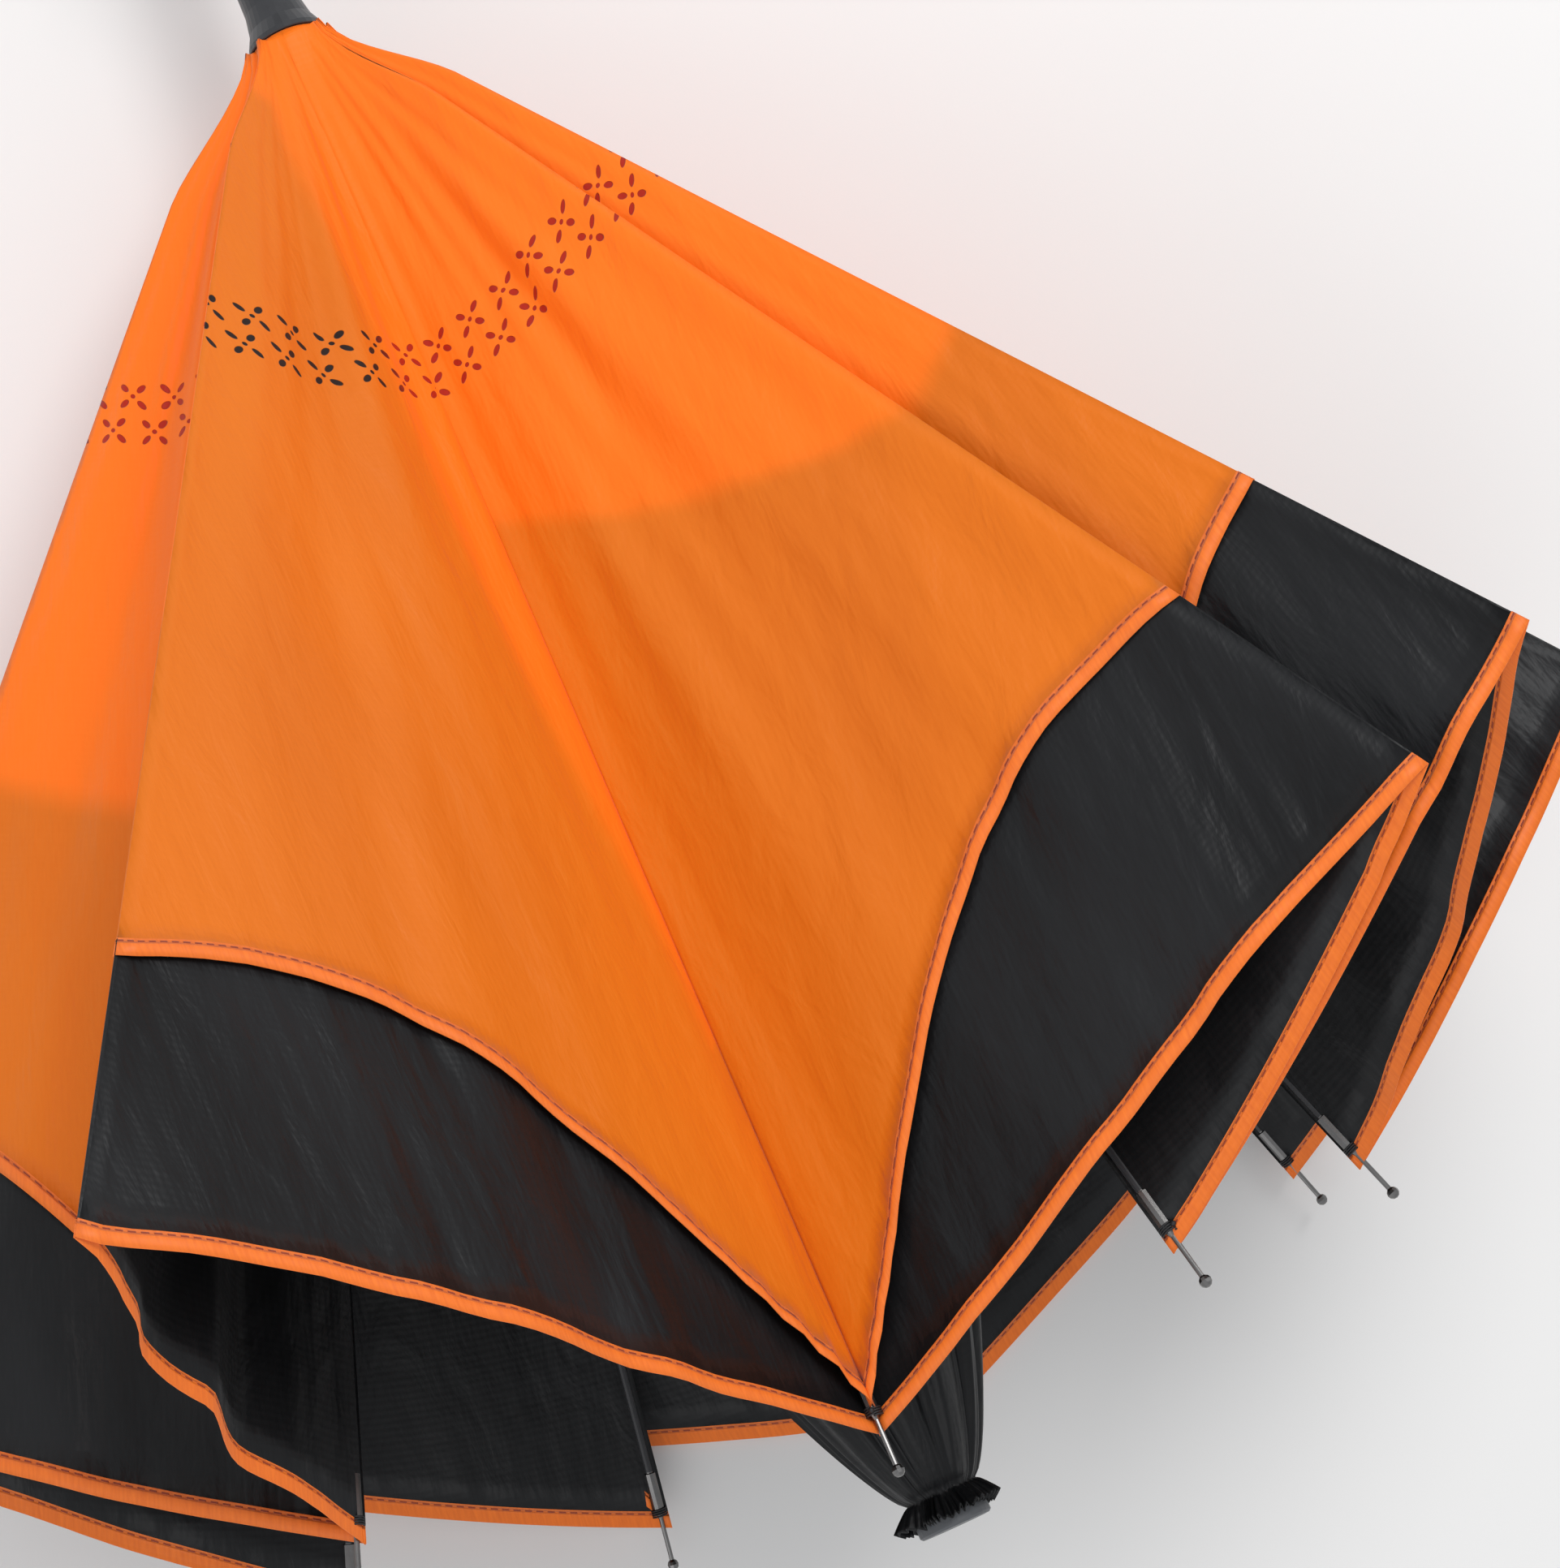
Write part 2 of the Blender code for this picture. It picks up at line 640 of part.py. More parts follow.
def half_gore_outline(width, start, first_seam, end_seam, crease_inset, hem):
    """Corner and hem points in the half-gore's own plane, as (along the rib, across)."""
    def polar(distance, angle):
        return distance * math.cos(angle), distance * math.sin(angle)

    def to_crease(distance):
        return width - math.asin(crease_inset / distance)

    start = max(start, (first_seam + crease_inset + LEAST_EDGE) / width)
    points = [polar(start, math.asin(first_seam / start))]
    rib_end, crease_end = hem(0), hem(width)
    low, high = math.asin(end_seam / rib_end), to_crease(crease_end)
    for k in range(HEM_POINTS):
        angle = low + (high - low) * k / (HEM_POINTS - 1)
        points.append(polar(hem(angle), angle))
    points.append(polar(start, to_crease(start)))
    return points


def flat_cloth(name, points, matrix, material):
    curve = bpy.data.curves.new(name, "CURVE")
    curve.dimensions = "2D"
    curve.fill_mode = "BOTH"
    curve.extrude = CLOTH / 2
    line = curve.splines.new("POLY")
    line.points.add(len(points) - 1)
    line.use_cyclic_u = True
    for point, (x, y) in zip(line.points, points):
        point.co = (x, y, 0, 1)
    return place_in(PARTS, name, curve, material, matrix)


def make_half_gore(i, side):
    """Both canopies' cloth on one side of a rib: side 1 towards the next rib, -1 towards the last."""
    gore = i if side > 0 else (i - 1) % RIB_COUNT
    other = rib_ray(i + side)
    rib, crease = rib_ray(i), crease_ray(gore)
    width = rib.angle(crease)
    frame, inner_side = half_gore_frame(rib, crease, other)
    half_angle = fold_half_angle(rib, crease, other)
    inset = CREASE_GAP / math.sin(half_angle) + CLOTH / 2 / math.tan(half_angle)
    word = "right" if side > 0 else "left"

    def inner_hem(angle):
        return hem_distance(angle / GORE_ANGLE, INNER_RIB_SHARE, INNER_MIDDLE_SHARE, INNER_HEM_POWER)

    def outer_hem(angle):
        return hem_distance(angle / GORE_ANGLE, OUTER_RIB_SHARE, OUTER_MIDDLE_SHARE, OUTER_HEM_POWER)

    needed = RIB_TUBE_RADIUS + RAY_DRIFT + CLOTH + GAP
    start = clear_start(rib, crease, INNER_START, needed)
    seam = max(RIB_ROD_RADIUS + 2 * GAP, least_seam(i))
    points = half_gore_outline(width, start, start_seam(i), seam, inset, inner_hem)
    flat_cloth(f"inner_gore_{i + 1}_{word}", points, frame, ORANGE_CLOTH)
    layer_inset = inset + LAYER_GAP / math.tan(half_angle)
    seam = max(FERRULE_RADIUS + GAP, least_seam(i))
    points = half_gore_outline(width, OUTER_START, start_seam(i), seam, layer_inset, outer_hem)
    layer = frame @ Matrix.Translation((0, 0, inner_side * LAYER_GAP))
    flat_cloth(f"outer_gore_{i + 1}_{word}", points, layer, BLACK_CLOTH)


def make_canopies():
    for i in range(RIB_COUNT):
        for side in (-1, 1):
            make_half_gore(i, side)


def make_sleeve():
    """The gathered middle of the outer canopy: a fluted cone, open at both ends."""
    front = NOTCH_TO_CAP_FACE - CAP_CHAMFER
    tight = CAP_RADIUS + GAP + CLOTH
    work = bmesh.new()
    bmesh.ops.create_grid(work, x_segments=SLEEVE_SIDES, y_segments=SLEEVE_RINGS, size=1)
    for vert in work.verts:
        turn = (vert.co.x + 1) * math.pi
        share = (vert.co.y + 1) / 2
        height = front - share * (front + SLEEVE_LENGTH)
        spread = max(0, -height) * SLEEVE_SLOPE_SHARE + OVERRUN * min(1, share * 3)
        flute = 1 + SLEEVE_FLUTE_SHARE * share * (1 + math.cos(SLEEVE_FLUTES * turn))
        radius = (tight + spread) * flute
        vert.co = (radius * math.cos(turn), radius * math.sin(turn), height)
    bmesh.ops.remove_doubles(work, verts=work.verts, dist=0.00001)
    bmesh.ops.recalc_face_normals(work, faces=work.faces)
    mesh = bpy.data.meshes.new("canopy_sleeve")
    work.to_mesh(mesh)
    work.free()
    at_top = Matrix.Translation((NOTCH_X, 0, 0)) @ ALONG_SHAFT
    sleeve = place_in(PARTS, "canopy_sleeve", mesh, BLACK_CLOTH, at_top)
    wall = sleeve.modifiers.new("wall", "SOLIDIFY")
    wall.thickness = CLOTH
    wall.offset = 1


def centre_footprint():
    """Moves the whole umbrella so that it lies on z = 0, with its footprint round the origin."""
    bpy.context.view_layer.update()
    graph = bpy.context.evaluated_depsgraph_get()
    corners = []
    for obj in PARTS.objects:
        if obj.type == "EMPTY":
            continue
        evaluated = obj.evaluated_get(graph)
        mesh = evaluated.to_mesh()
        corners += [obj.matrix_world @ vert.co for vert in mesh.vertices]
        evaluated.to_mesh_clear()
    low = Vector([min(corner[k] for corner in corners) for k in range(3)])
    high = Vector([max(corner[k] for corner in corners) for k in range(3)])
    UMBRELLA.location -= Vector(((low.x + high.x) / 2, (low.y + high.y) / 2, low.z))
    bpy.context.view_layer.update()


make_shaft()
make_hinge_rings()
make_cap()
make_runner()
make_release_lever()
make_handle()
make_ribs()
make_stretchers()
make_canopies()
make_sleeve()
centre_footprint()
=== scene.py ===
"""A reverse-folding umbrella with two canopies, loosely closed and lying on its side."""
import json
import math

import bmesh
import bpy
from mathutils import Matrix, Vector, noise


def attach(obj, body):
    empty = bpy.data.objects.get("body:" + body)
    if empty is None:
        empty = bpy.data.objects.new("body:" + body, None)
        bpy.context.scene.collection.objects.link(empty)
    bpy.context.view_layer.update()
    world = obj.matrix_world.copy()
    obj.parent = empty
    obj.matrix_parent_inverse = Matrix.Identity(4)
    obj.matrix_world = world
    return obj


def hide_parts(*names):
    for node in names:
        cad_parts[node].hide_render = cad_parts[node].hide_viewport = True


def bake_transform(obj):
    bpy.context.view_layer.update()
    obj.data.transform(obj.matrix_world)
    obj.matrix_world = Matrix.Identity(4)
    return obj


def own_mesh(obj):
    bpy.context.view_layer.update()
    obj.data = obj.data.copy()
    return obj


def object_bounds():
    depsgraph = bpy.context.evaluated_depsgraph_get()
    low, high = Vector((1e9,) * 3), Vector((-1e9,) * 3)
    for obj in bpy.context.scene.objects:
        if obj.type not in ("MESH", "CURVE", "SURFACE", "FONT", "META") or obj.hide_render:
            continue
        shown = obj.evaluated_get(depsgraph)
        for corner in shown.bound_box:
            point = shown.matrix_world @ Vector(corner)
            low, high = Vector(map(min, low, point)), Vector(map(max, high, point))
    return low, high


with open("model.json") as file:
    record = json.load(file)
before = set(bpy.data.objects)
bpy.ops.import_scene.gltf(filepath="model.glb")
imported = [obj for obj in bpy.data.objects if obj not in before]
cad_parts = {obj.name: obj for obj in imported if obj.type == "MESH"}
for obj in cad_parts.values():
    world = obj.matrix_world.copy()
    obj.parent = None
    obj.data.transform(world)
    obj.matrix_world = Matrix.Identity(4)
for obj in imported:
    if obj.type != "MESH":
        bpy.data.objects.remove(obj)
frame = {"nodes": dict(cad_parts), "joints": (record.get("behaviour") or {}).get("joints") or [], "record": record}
cad_box = [list(corner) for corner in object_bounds()]


# Shaft, stretchers and hinge wires. The real ones are steel: a painted tube, U-shaped strips
# painted black, and two bare drawn wires that the ribs and the stretchers turn on.
RIB_COUNT = 8
GLOSS_SPREAD = 0.22


def new_material(name):
    material = bpy.data.materials.new(name)
    material.use_nodes = True
    return material, material.node_tree


def new_group(name, inputs, outputs):
    """An empty shader group with its named sockets."""
    group = bpy.data.node_groups.new(name, "ShaderNodeTree")
    for direction, sockets in (("INPUT", inputs), ("OUTPUT", outputs)):
        for label, kind in sockets:
            group.interface.new_socket(label, in_out=direction, socket_type=f"NodeSocket{kind}")
    return group, group.nodes.new("NodeGroupInput"), group.nodes.new("NodeGroupOutput")


def add_node(tree, kind, inputs=(), **settings):
    """A node with its settings, and its sockets wired or set."""
    node = tree.nodes.new(kind)
    for key, value in settings.items():
        setattr(node, key, value)
    for key, value in dict(inputs).items():
        if isinstance(value, bpy.types.NodeSocket):
            tree.links.new(value, node.inputs[key])
        else:
            node.inputs[key].default_value = value
    return node


def calculate(tree, operation, *values):
    return add_node(tree, "ShaderNodeMath", enumerate(values), operation=operation).outputs[0]


def ramp(tree, value, low, high):
    """0 below low, 1 above high, and smooth between them."""
    sockets = {"Value": value, "From Min": low, "From Max": high}
    return add_node(tree, "ShaderNodeMapRange", sockets, interpolation_type="SMOOTHSTEP").outputs[0]


def mixed(tree, share, first, second):
    colours = [c if isinstance(c, bpy.types.NodeSocket) else (*c, 1) for c in (first, second)]
    sockets = {0: share, 6: colours[0], 7: colours[1]}
    return add_node(tree, "ShaderNodeMix", sockets, data_type="RGBA").outputs[2]


def feed(tree, **sockets):
    """Sets or wires the sockets of a material's own Principled shader."""
    shader = tree.nodes["Principled BSDF"]
    for key, value in sockets.items():
        socket = shader.inputs[key.replace("_", " ")]
        if isinstance(value, bpy.types.NodeSocket):
            tree.links.new(value, socket)
        else:
            socket.default_value = value


def object_place(tree):
    return add_node(tree, "ShaderNodeTexCoord").outputs["Object"]


def bumped(tree, height, distance, strength=1.0, normal=None):
    sockets = {"Height": height, "Distance": distance, "Strength": strength}
    if normal is not None:
        sockets["Normal"] = normal
    return add_node(tree, "ShaderNodeBump", sockets).outputs[0]


def make_surface_grain():
    """Fine grain and slow cloudiness of a moulded, painted or drawn surface."""
    group, inside, out = new_group(
        "surface_grain", (("Vector", "Vector"), ("Grain", "Float"), ("Cloud", "Float")),
        (("Grain", "Float"), ("Cloud", "Float")))
    for label, detail in (("Grain", 2.0), ("Cloud", 4.0)):
        sockets = {"Vector": inside.outputs["Vector"], "Scale": inside.outputs[label],
                   "Detail": detail, "Roughness": 0.55}
        made = add_node(group, "ShaderNodeTexNoise", sockets)
        group.links.new(made.outputs[0], out.inputs[label])
    return group


def fill_group(tree, group, inputs):
    return add_node(tree, "ShaderNodeGroup", inputs, node_tree=group)


SURFACE_GRAIN = make_surface_grain()


def hard_finish(name, dull, clear, roughness, metallic=0.0, grain=1500.0):
    """A metal, paint or moulded plastic with clouds in its gloss and grain in its surface."""
    material, tree = new_material(name)
    sockets = {"Vector": object_place(tree), "Grain": grain, "Cloud": 70.0}
    made = fill_group(tree, SURFACE_GRAIN, sockets)
    gloss = calculate(tree, "MULTIPLY_ADD", made.outputs["Cloud"], GLOSS_SPREAD,
                      roughness - GLOSS_SPREAD / 2)
    feed(tree, Base_Color=mixed(tree, made.outputs["Cloud"], dull, clear), Roughness=gloss,
         Metallic=metallic, Normal=bumped(tree, made.outputs["Grain"], 0.00006, 0.6))
    return material


def finish_node(node, material):
    for slot in frame["nodes"][node].material_slots:
        slot.material = material


BLACK_PAINT = hard_finish("black_painted_steel", (0.012, 0.012, 0.014), (0.028, 0.028, 0.031), 0.36)
DRAWN_WIRE = hard_finish("drawn_steel_wire", (0.36, 0.36, 0.36), (0.58, 0.57, 0.56), 0.30, 1.0)
finish_node("shaft", BLACK_PAINT)
for node in ("top_hinge_wire", "runner_hinge_wire"):
    finish_node(node, DRAWN_WIRE)
for i in range(RIB_COUNT):
    finish_node(f"stretcher_{i + 1}", BLACK_PAINT)


# Ribs: black rods that end in a grey ferrule, a short cone and a ball, one turned piece of
# gunmetal that is pressed on. The thread that ties the canopies goes round the ferrule.
RIB_LENGTH = 0.590
RIB_TUBE_RADIUS = 0.0019
TIP_AND_FERRULE = 0.0362
PAINT_EDGE = 0.0003
PAINT_ROUGHNESS = 0.40
FERRULE_ROUGHNESS = 0.24
HINGE_RADIUS = 0.011
MEAN_FLARE = math.radians(16)
JOINTS = {joint["name"]: joint for joint in frame["joints"]}
SHAFT_WAY = Vector(JOINTS["runner_slide"]["axis"]).normalized()
HINGES = [Vector(JOINTS[f"rib_{i + 1}_hinge"]["pos_m"]) for i in range(RIB_COUNT)]
TIPS = [Vector(JOINTS[f"gore_{i + 1}_left_fold"]["pos_m"]) for i in range(RIB_COUNT)]
HUB = sum(HINGES, Vector()) / RIB_COUNT
APEX = HUB - SHAFT_WAY * (HINGE_RADIUS / math.tan(MEAN_FLARE))
REACH = (TIPS[0] - APEX).length


def rib_ray(i):
    """From the point behind the hub that all the cloth aims at, to the rib's tip."""
    return (TIPS[i % RIB_COUNT] - APEX).normalized()


def rib_way(i):
    return (TIPS[i] - HINGES[i]).normalized()


def rib_finish(i):
    """Black paint up to the ferrule, and polished gunmetal beyond it."""
    material, tree = new_material(f"rib_steel_{i + 1}")
    place = object_place(tree)
    made = fill_group(tree, SURFACE_GRAIN, {"Vector": place, "Grain": 2500.0, "Cloud": 120.0})
    sockets = {0: place, 1: HINGES[i]}
    from_hinge = add_node(tree, "ShaderNodeVectorMath", sockets, operation="SUBTRACT")
    sockets = {0: from_hinge.outputs[0], 1: rib_way(i)}
    along = add_node(tree, "ShaderNodeVectorMath", sockets, operation="DOT_PRODUCT").outputs["Value"]
    paint_end = RIB_LENGTH - TIP_AND_FERRULE
    ferrule = ramp(tree, along, paint_end - PAINT_EDGE, paint_end)
    paint = mixed(tree, made.outputs["Cloud"], (0.016, 0.016, 0.018), (0.035, 0.035, 0.038))
    steel = mixed(tree, made.outputs["Cloud"], (0.13, 0.127, 0.125), (0.24, 0.235, 0.23))
    gloss = calculate(tree, "MULTIPLY_ADD", ferrule, FERRULE_ROUGHNESS - PAINT_ROUGHNESS,
                      PAINT_ROUGHNESS)
    gloss = calculate(tree, "MULTIPLY_ADD", made.outputs["Grain"], 0.12, gloss)
    feed(tree, Base_Color=mixed(tree, ferrule, paint, steel), Roughness=gloss, Metallic=ferrule,
         Normal=bumped(tree, made.outputs["Grain"], 0.00004, 0.5))
    return material


for i in range(RIB_COUNT):
    finish_node(f"rib_{i + 1}", rib_finish(i))


# Runner, hinge rings and handle: black moulded nylon, satin on the runner and its flared collar.
# The cap is grey and pressed on. The release lever is glossier and clips into the runner.
SATIN_NYLON = hard_finish("satin_black_nylon", (0.018, 0.018, 0.020), (0.040, 0.041, 0.045), 0.36)
MATTE_NYLON = hard_finish("matte_black_nylon", (0.015, 0.015, 0.016), (0.030, 0.030, 0.032), 0.55)
CAP_GREY = hard_finish("matte_grey_cap", (0.060, 0.064, 0.070), (0.095, 0.100, 0.108), 0.50)
GLOSS_BLACK = hard_finish("gloss_black_plastic", (0.006, 0.006, 0.007), (0.014, 0.014, 0.016), 0.22)
for node, material in (("runner", SATIN_NYLON), ("runner_hinge_ring", MATTE_NYLON),
                       ("top_hinge_ring", MATTE_NYLON), ("top_cap", CAP_GREY),
                       ("handle", MATTE_NYLON), ("release_lever", GLOSS_BLACK)):
    finish_node(node, material)


# Cloth of the canopies: light plain-woven polyester pongee. The weave shows close up, and long
# soft pulls run from the hub to the tips, because the cloth hangs only from its ribs.
WEAVE_RADIANS = 2400.0

# The wave texture turns by this much in a metre for each unit of its scale
RADIANS_PER_SCALE = 20.0

# Scale across, along and through the cloth, and detail
LONG_FOLDS = ((30, 3.2, 1), 2.0)
SHORT_CREASES = ((75, 30, 1), 4.0)
BROAD_CLOUDS = ((9, 4, 1), 2.0)


def make_plain_weave():
    """Ridges both ways, as a height, and a slub that varies the colour of the threads."""
    group, inside, out = new_group("plain_weave", (("Vector", "Vector"), ("Radians per m", "Float")),
                                   (("Height", "Float"), ("Slub", "Float")))
    scale = calculate(group, "DIVIDE", inside.outputs["Radians per m"], RADIANS_PER_SCALE)
    heights = []
    for direction in ("X", "Y"):
        sockets = {"Vector": inside.outputs["Vector"], "Scale": scale, "Distortion": 0.7,
                   "Detail": 1.0}
        ridges = add_node(group, "ShaderNodeTexWave", sockets, bands_direction=direction)
        heights.append(ridges.outputs["Fac"])
    group.links.new(calculate(group, "ADD", *heights), out.inputs["Height"])
    stretched = add_node(group, "ShaderNodeMapping", {"Vector": inside.outputs["Vector"],
                                                      "Scale": (1, 0.12, 1)})
    sockets = {"Vector": stretched.outputs[0], "Scale": 900.0, "Detail": 3.0}
    slub = add_node(group, "ShaderNodeTexNoise", sockets)
    group.links.new(slub.outputs[0], out.inputs["Slub"])
    return group


def make_soft_pulls():
    """Long folds along the cloth and short creases across it, as one height."""
    group, inside, out = new_group("soft_pulls", (("Vector", "Vector"), ("Crumple", "Float")),
                                   (("Height", "Float"), ("Cloud", "Float")))
    heights = []
    for scale, detail in (LONG_FOLDS, SHORT_CREASES, BROAD_CLOUDS):
        stretched = add_node(group, "ShaderNodeMapping", {"Vector": inside.outputs["Vector"],
                                                          "Scale": scale})
        made = add_node(group, "ShaderNodeTexNoise", {"Vector": stretched.outputs[0], "Scale": 1.0,
                                                      "Detail": detail, "Distortion": 0.4})
        heights.append(made.outputs[0])
    crumple = calculate(group, "MULTIPLY_ADD", heights[1], inside.outputs["Crumple"], heights[0])
    group.links.new(crumple, out.inputs["Height"])
    group.links.new(heights[2], out.inputs["Cloud"])
    return group


PLAIN_WEAVE, SOFT_PULLS = make_plain_weave(), make_soft_pulls()


def cloth_uv(tree, layer):
    """The cloth's own flat coordinates in metres: as a vector, across it, and along it."""
    vector = add_node(tree, "ShaderNodeUVMap", uv_map=layer).outputs[0]
    split = add_node(tree, "ShaderNodeSeparateXYZ", {0: vector})
    return vector, split.outputs[0], split.outputs[1]


def cloth_height(tree, vector, crumple, folds):
    """Weave, then pulls and creases, as a normal; with the masks that vary the colour."""
    weave = fill_group(tree, PLAIN_WEAVE, {"Vector": vector, "Radians per m": WEAVE_RADIANS})
    pulls = fill_group(tree, SOFT_PULLS, {"Vector": vector, "Crumple": crumple})
    fine = bumped(tree, weave.outputs["Height"], 0.00005, 0.5)
    return bumped(tree, pulls.outputs["Height"], folds, 0.6, fine), weave, pulls


# Orange canopy: the one that shows when the umbrella is closed. Two rows of four-petal flowers
# are punched through it near the hub. It looks darker where the black cloth lies behind it.
FLOWER_ROWS = 2
FLOWER_BAND = 0.1800
FLOWER_ACROSS = 0.0165
FLOWER_ALONG = 0.0145
PETAL_CENTRE = 0.0047
PETAL_LONG = 0.0022
PETAL_WIDE = 0.0012
FLOWER_DOT = 0.0009
HOLE_EDGE = (0.75, 1.15)
HOLE_DEPTH = 0.0004
BLACK_EDGE_BLEND = (0.001, 0.016)
BLACK_EDGE_UNEVENNESS = 0.012


def flower_holes(tree, u, v):
    """1 inside each petal and dot of the two staggered rows."""
    along = calculate(tree, "DIVIDE", calculate(tree, "SUBTRACT", v, FLOWER_BAND), FLOWER_ALONG)
    row = calculate(tree, "FLOOR", along)
    across = calculate(tree, "DIVIDE", u, FLOWER_ACROSS)
    across = calculate(tree, "MULTIPLY_ADD", row, 0.5, across)
    y = calculate(tree, "SUBTRACT", calculate(tree, "FRACT", along), 0.5)
    x = calculate(tree, "SUBTRACT", calculate(tree, "FRACT", across), 0.5)
    x = calculate(tree, "MULTIPLY", x, FLOWER_ACROSS)
    y = calculate(tree, "MULTIPLY", y, FLOWER_ALONG)
    diagonals = []
    for operation in ("ADD", "SUBTRACT"):
        turned = calculate(tree, "MULTIPLY", calculate(tree, operation, x, y), math.sqrt(0.5))
        diagonals.append(calculate(tree, "ABSOLUTE", turned))
    outward = calculate(tree, "MAXIMUM", *diagonals)
    aside = calculate(tree, "MINIMUM", *diagonals)
    outward = calculate(tree, "SUBTRACT", outward, PETAL_CENTRE)
    outward = calculate(tree, "DIVIDE", outward, PETAL_LONG)
    aside = calculate(tree, "DIVIDE", aside, PETAL_WIDE)
    aside = calculate(tree, "MULTIPLY", aside, aside)
    petal = calculate(tree, "MULTIPLY_ADD", outward, outward, aside)
    dot = calculate(tree, "MULTIPLY_ADD", x, x, calculate(tree, "MULTIPLY", y, y))
    dot = calculate(tree, "DIVIDE", dot, FLOWER_DOT ** 2)
    nearest = calculate(tree, "MINIMUM", petal, dot)
    hole = calculate(tree, "SUBTRACT", 1.0, ramp(tree, nearest, *HOLE_EDGE))
    for limit, operation in ((-0.5, "GREATER_THAN"), (FLOWER_ROWS - 0.5, "LESS_THAN")):
        hole = calculate(tree, "MULTIPLY", hole, calculate(tree, operation, row, limit))
    return hole


def orange_pongee():
    material, tree = new_material("orange_pongee")
    vector, u, v = cloth_uv(tree, "cloth")
    normal, weave, pulls = cloth_height(tree, vector, 0.45, 0.0050)
    behind = add_node(tree, "ShaderNodeAttribute", attribute_name="black_behind").outputs["Fac"]
    behind = calculate(tree, "MULTIPLY_ADD", pulls.outputs["Cloud"], BLACK_EDGE_UNEVENNESS, behind)
    layered = ramp(tree, behind, *BLACK_EDGE_BLEND)
    bright = mixed(tree, pulls.outputs["Cloud"], (0.94, 0.150, 0.002), (1.0, 0.195, 0.004))
    deep = mixed(tree, pulls.outputs["Cloud"], (0.56, 0.108, 0.001), (0.84, 0.195, 0.003))
    colour = mixed(tree, layered, bright, deep)
    threads = calculate(tree, "MULTIPLY", weave.outputs["Slub"], 0.14)
    colour = mixed(tree, threads, colour, (1.0, 0.30, 0.03))
    hole = flower_holes(tree, u, v)
    # Inside the holes: black cloth where it lies behind, and elsewhere painted shade, a deep red that stands in
    # for the orange cloth beneath seen in the dark.
    through = mixed(tree, layered, (0.40, 0.014, 0.002), (0.014, 0.004, 0.002))
    colour = mixed(tree, hole, colour, through)
    normal = bumped(tree, calculate(tree, "SUBTRACT", 1.0, hole), HOLE_DEPTH, 1.0, normal)
    feed(tree, Base_Color=colour, Normal=normal, Roughness=0.48, Sheen_Weight=0.10,
         Sheen_Roughness=0.4, Specular_IOR_Level=0.25)
    return material


# Black canopy: the same cloth dyed black, and hung on the other side of the ribs. Its colour
# holds soft lighter patches of painted sheen, placed by broad noise.
def black_pongee():
    material, tree = new_material("black_pongee")
    vector = cloth_uv(tree, "cloth")[0]
    normal, weave, pulls = cloth_height(tree, vector, 0.30, 0.0080)
    # Painted sheen: broad noise lightens the black in soft patches, standing in for the satin's shine.
    painted_sheen = ramp(tree, pulls.outputs["Cloud"], 0.35, 0.68)
    colour = mixed(tree, painted_sheen, (0.0020, 0.0021, 0.0023), (0.0125, 0.0128, 0.0138))
    threads = calculate(tree, "MULTIPLY", weave.outputs["Slub"], 0.26)
    colour = mixed(tree, threads, colour, (0.026, 0.027, 0.030))
    feed(tree, Base_Color=colour, Normal=normal, Roughness=0.42, Specular_IOR_Level=0.22)
    return material


# Hems: orange woven tape on the edge of either canopy. It is folded over the cloth and sewn down
# with one row of dashed stitches.
HEM_WIDTH = 0.0066
STITCH_PITCH = 0.0040
STITCH_FROM_EDGE = 0.0054
STITCH_HALF_WIDTH = (0.00015, 0.00042)
STITCH_RELIEF = 0.00045
GROOVE_HALF_WIDTH = 0.0009


def hem_binding():
    """The tape's cloth, with the stitches near its inner edge and painted shade along their groove."""
    material, tree = new_material("hem_binding")
    vector, u, v = cloth_uv(tree, "hem")
    dash = calculate(tree, "FRACT", calculate(tree, "DIVIDE", u, STITCH_PITCH))
    dash = calculate(tree, "SUBTRACT", ramp(tree, dash, 0.06, 0.14), ramp(tree, dash, 0.66, 0.74))
    off_line = calculate(tree, "ABSOLUTE", calculate(tree, "SUBTRACT", v, STITCH_FROM_EDGE))
    line = calculate(tree, "SUBTRACT", 1.0, ramp(tree, off_line, *STITCH_HALF_WIDTH))
    stitch = calculate(tree, "MULTIPLY", dash, line)
    groove_and_shade = calculate(tree, "SUBTRACT", 1.0, ramp(tree, off_line, 0.0, GROOVE_HALF_WIDTH))
    normal, weave, _ = cloth_height(tree, vector, 0.5, 0.0010)
    colour = mixed(tree, weave.outputs["Slub"], (0.70, 0.115, 0.003), (0.98, 0.215, 0.012))
    # Painted shade: the tape's colour is darkened a little along the groove that the stitches pull in.
    colour = mixed(tree, calculate(tree, "MULTIPLY", groove_and_shade, 0.25), colour, (0.45, 0.055, 0.002))
    colour = mixed(tree, stitch, colour, (0.30, 0.030, 0.002))
    height = calculate(tree, "MULTIPLY_ADD", stitch, 0.7, calculate(tree, "MULTIPLY", groove_and_shade, -1.0))
    normal = bumped(tree, height, STITCH_RELIEF, 1.0, normal)
    feed(tree, Base_Color=colour, Normal=normal, Roughness=0.55, Sheen_Weight=0.08)
    return material


ORANGE, BLACK, BINDING = orange_pongee(), black_pongee(), hem_binding()


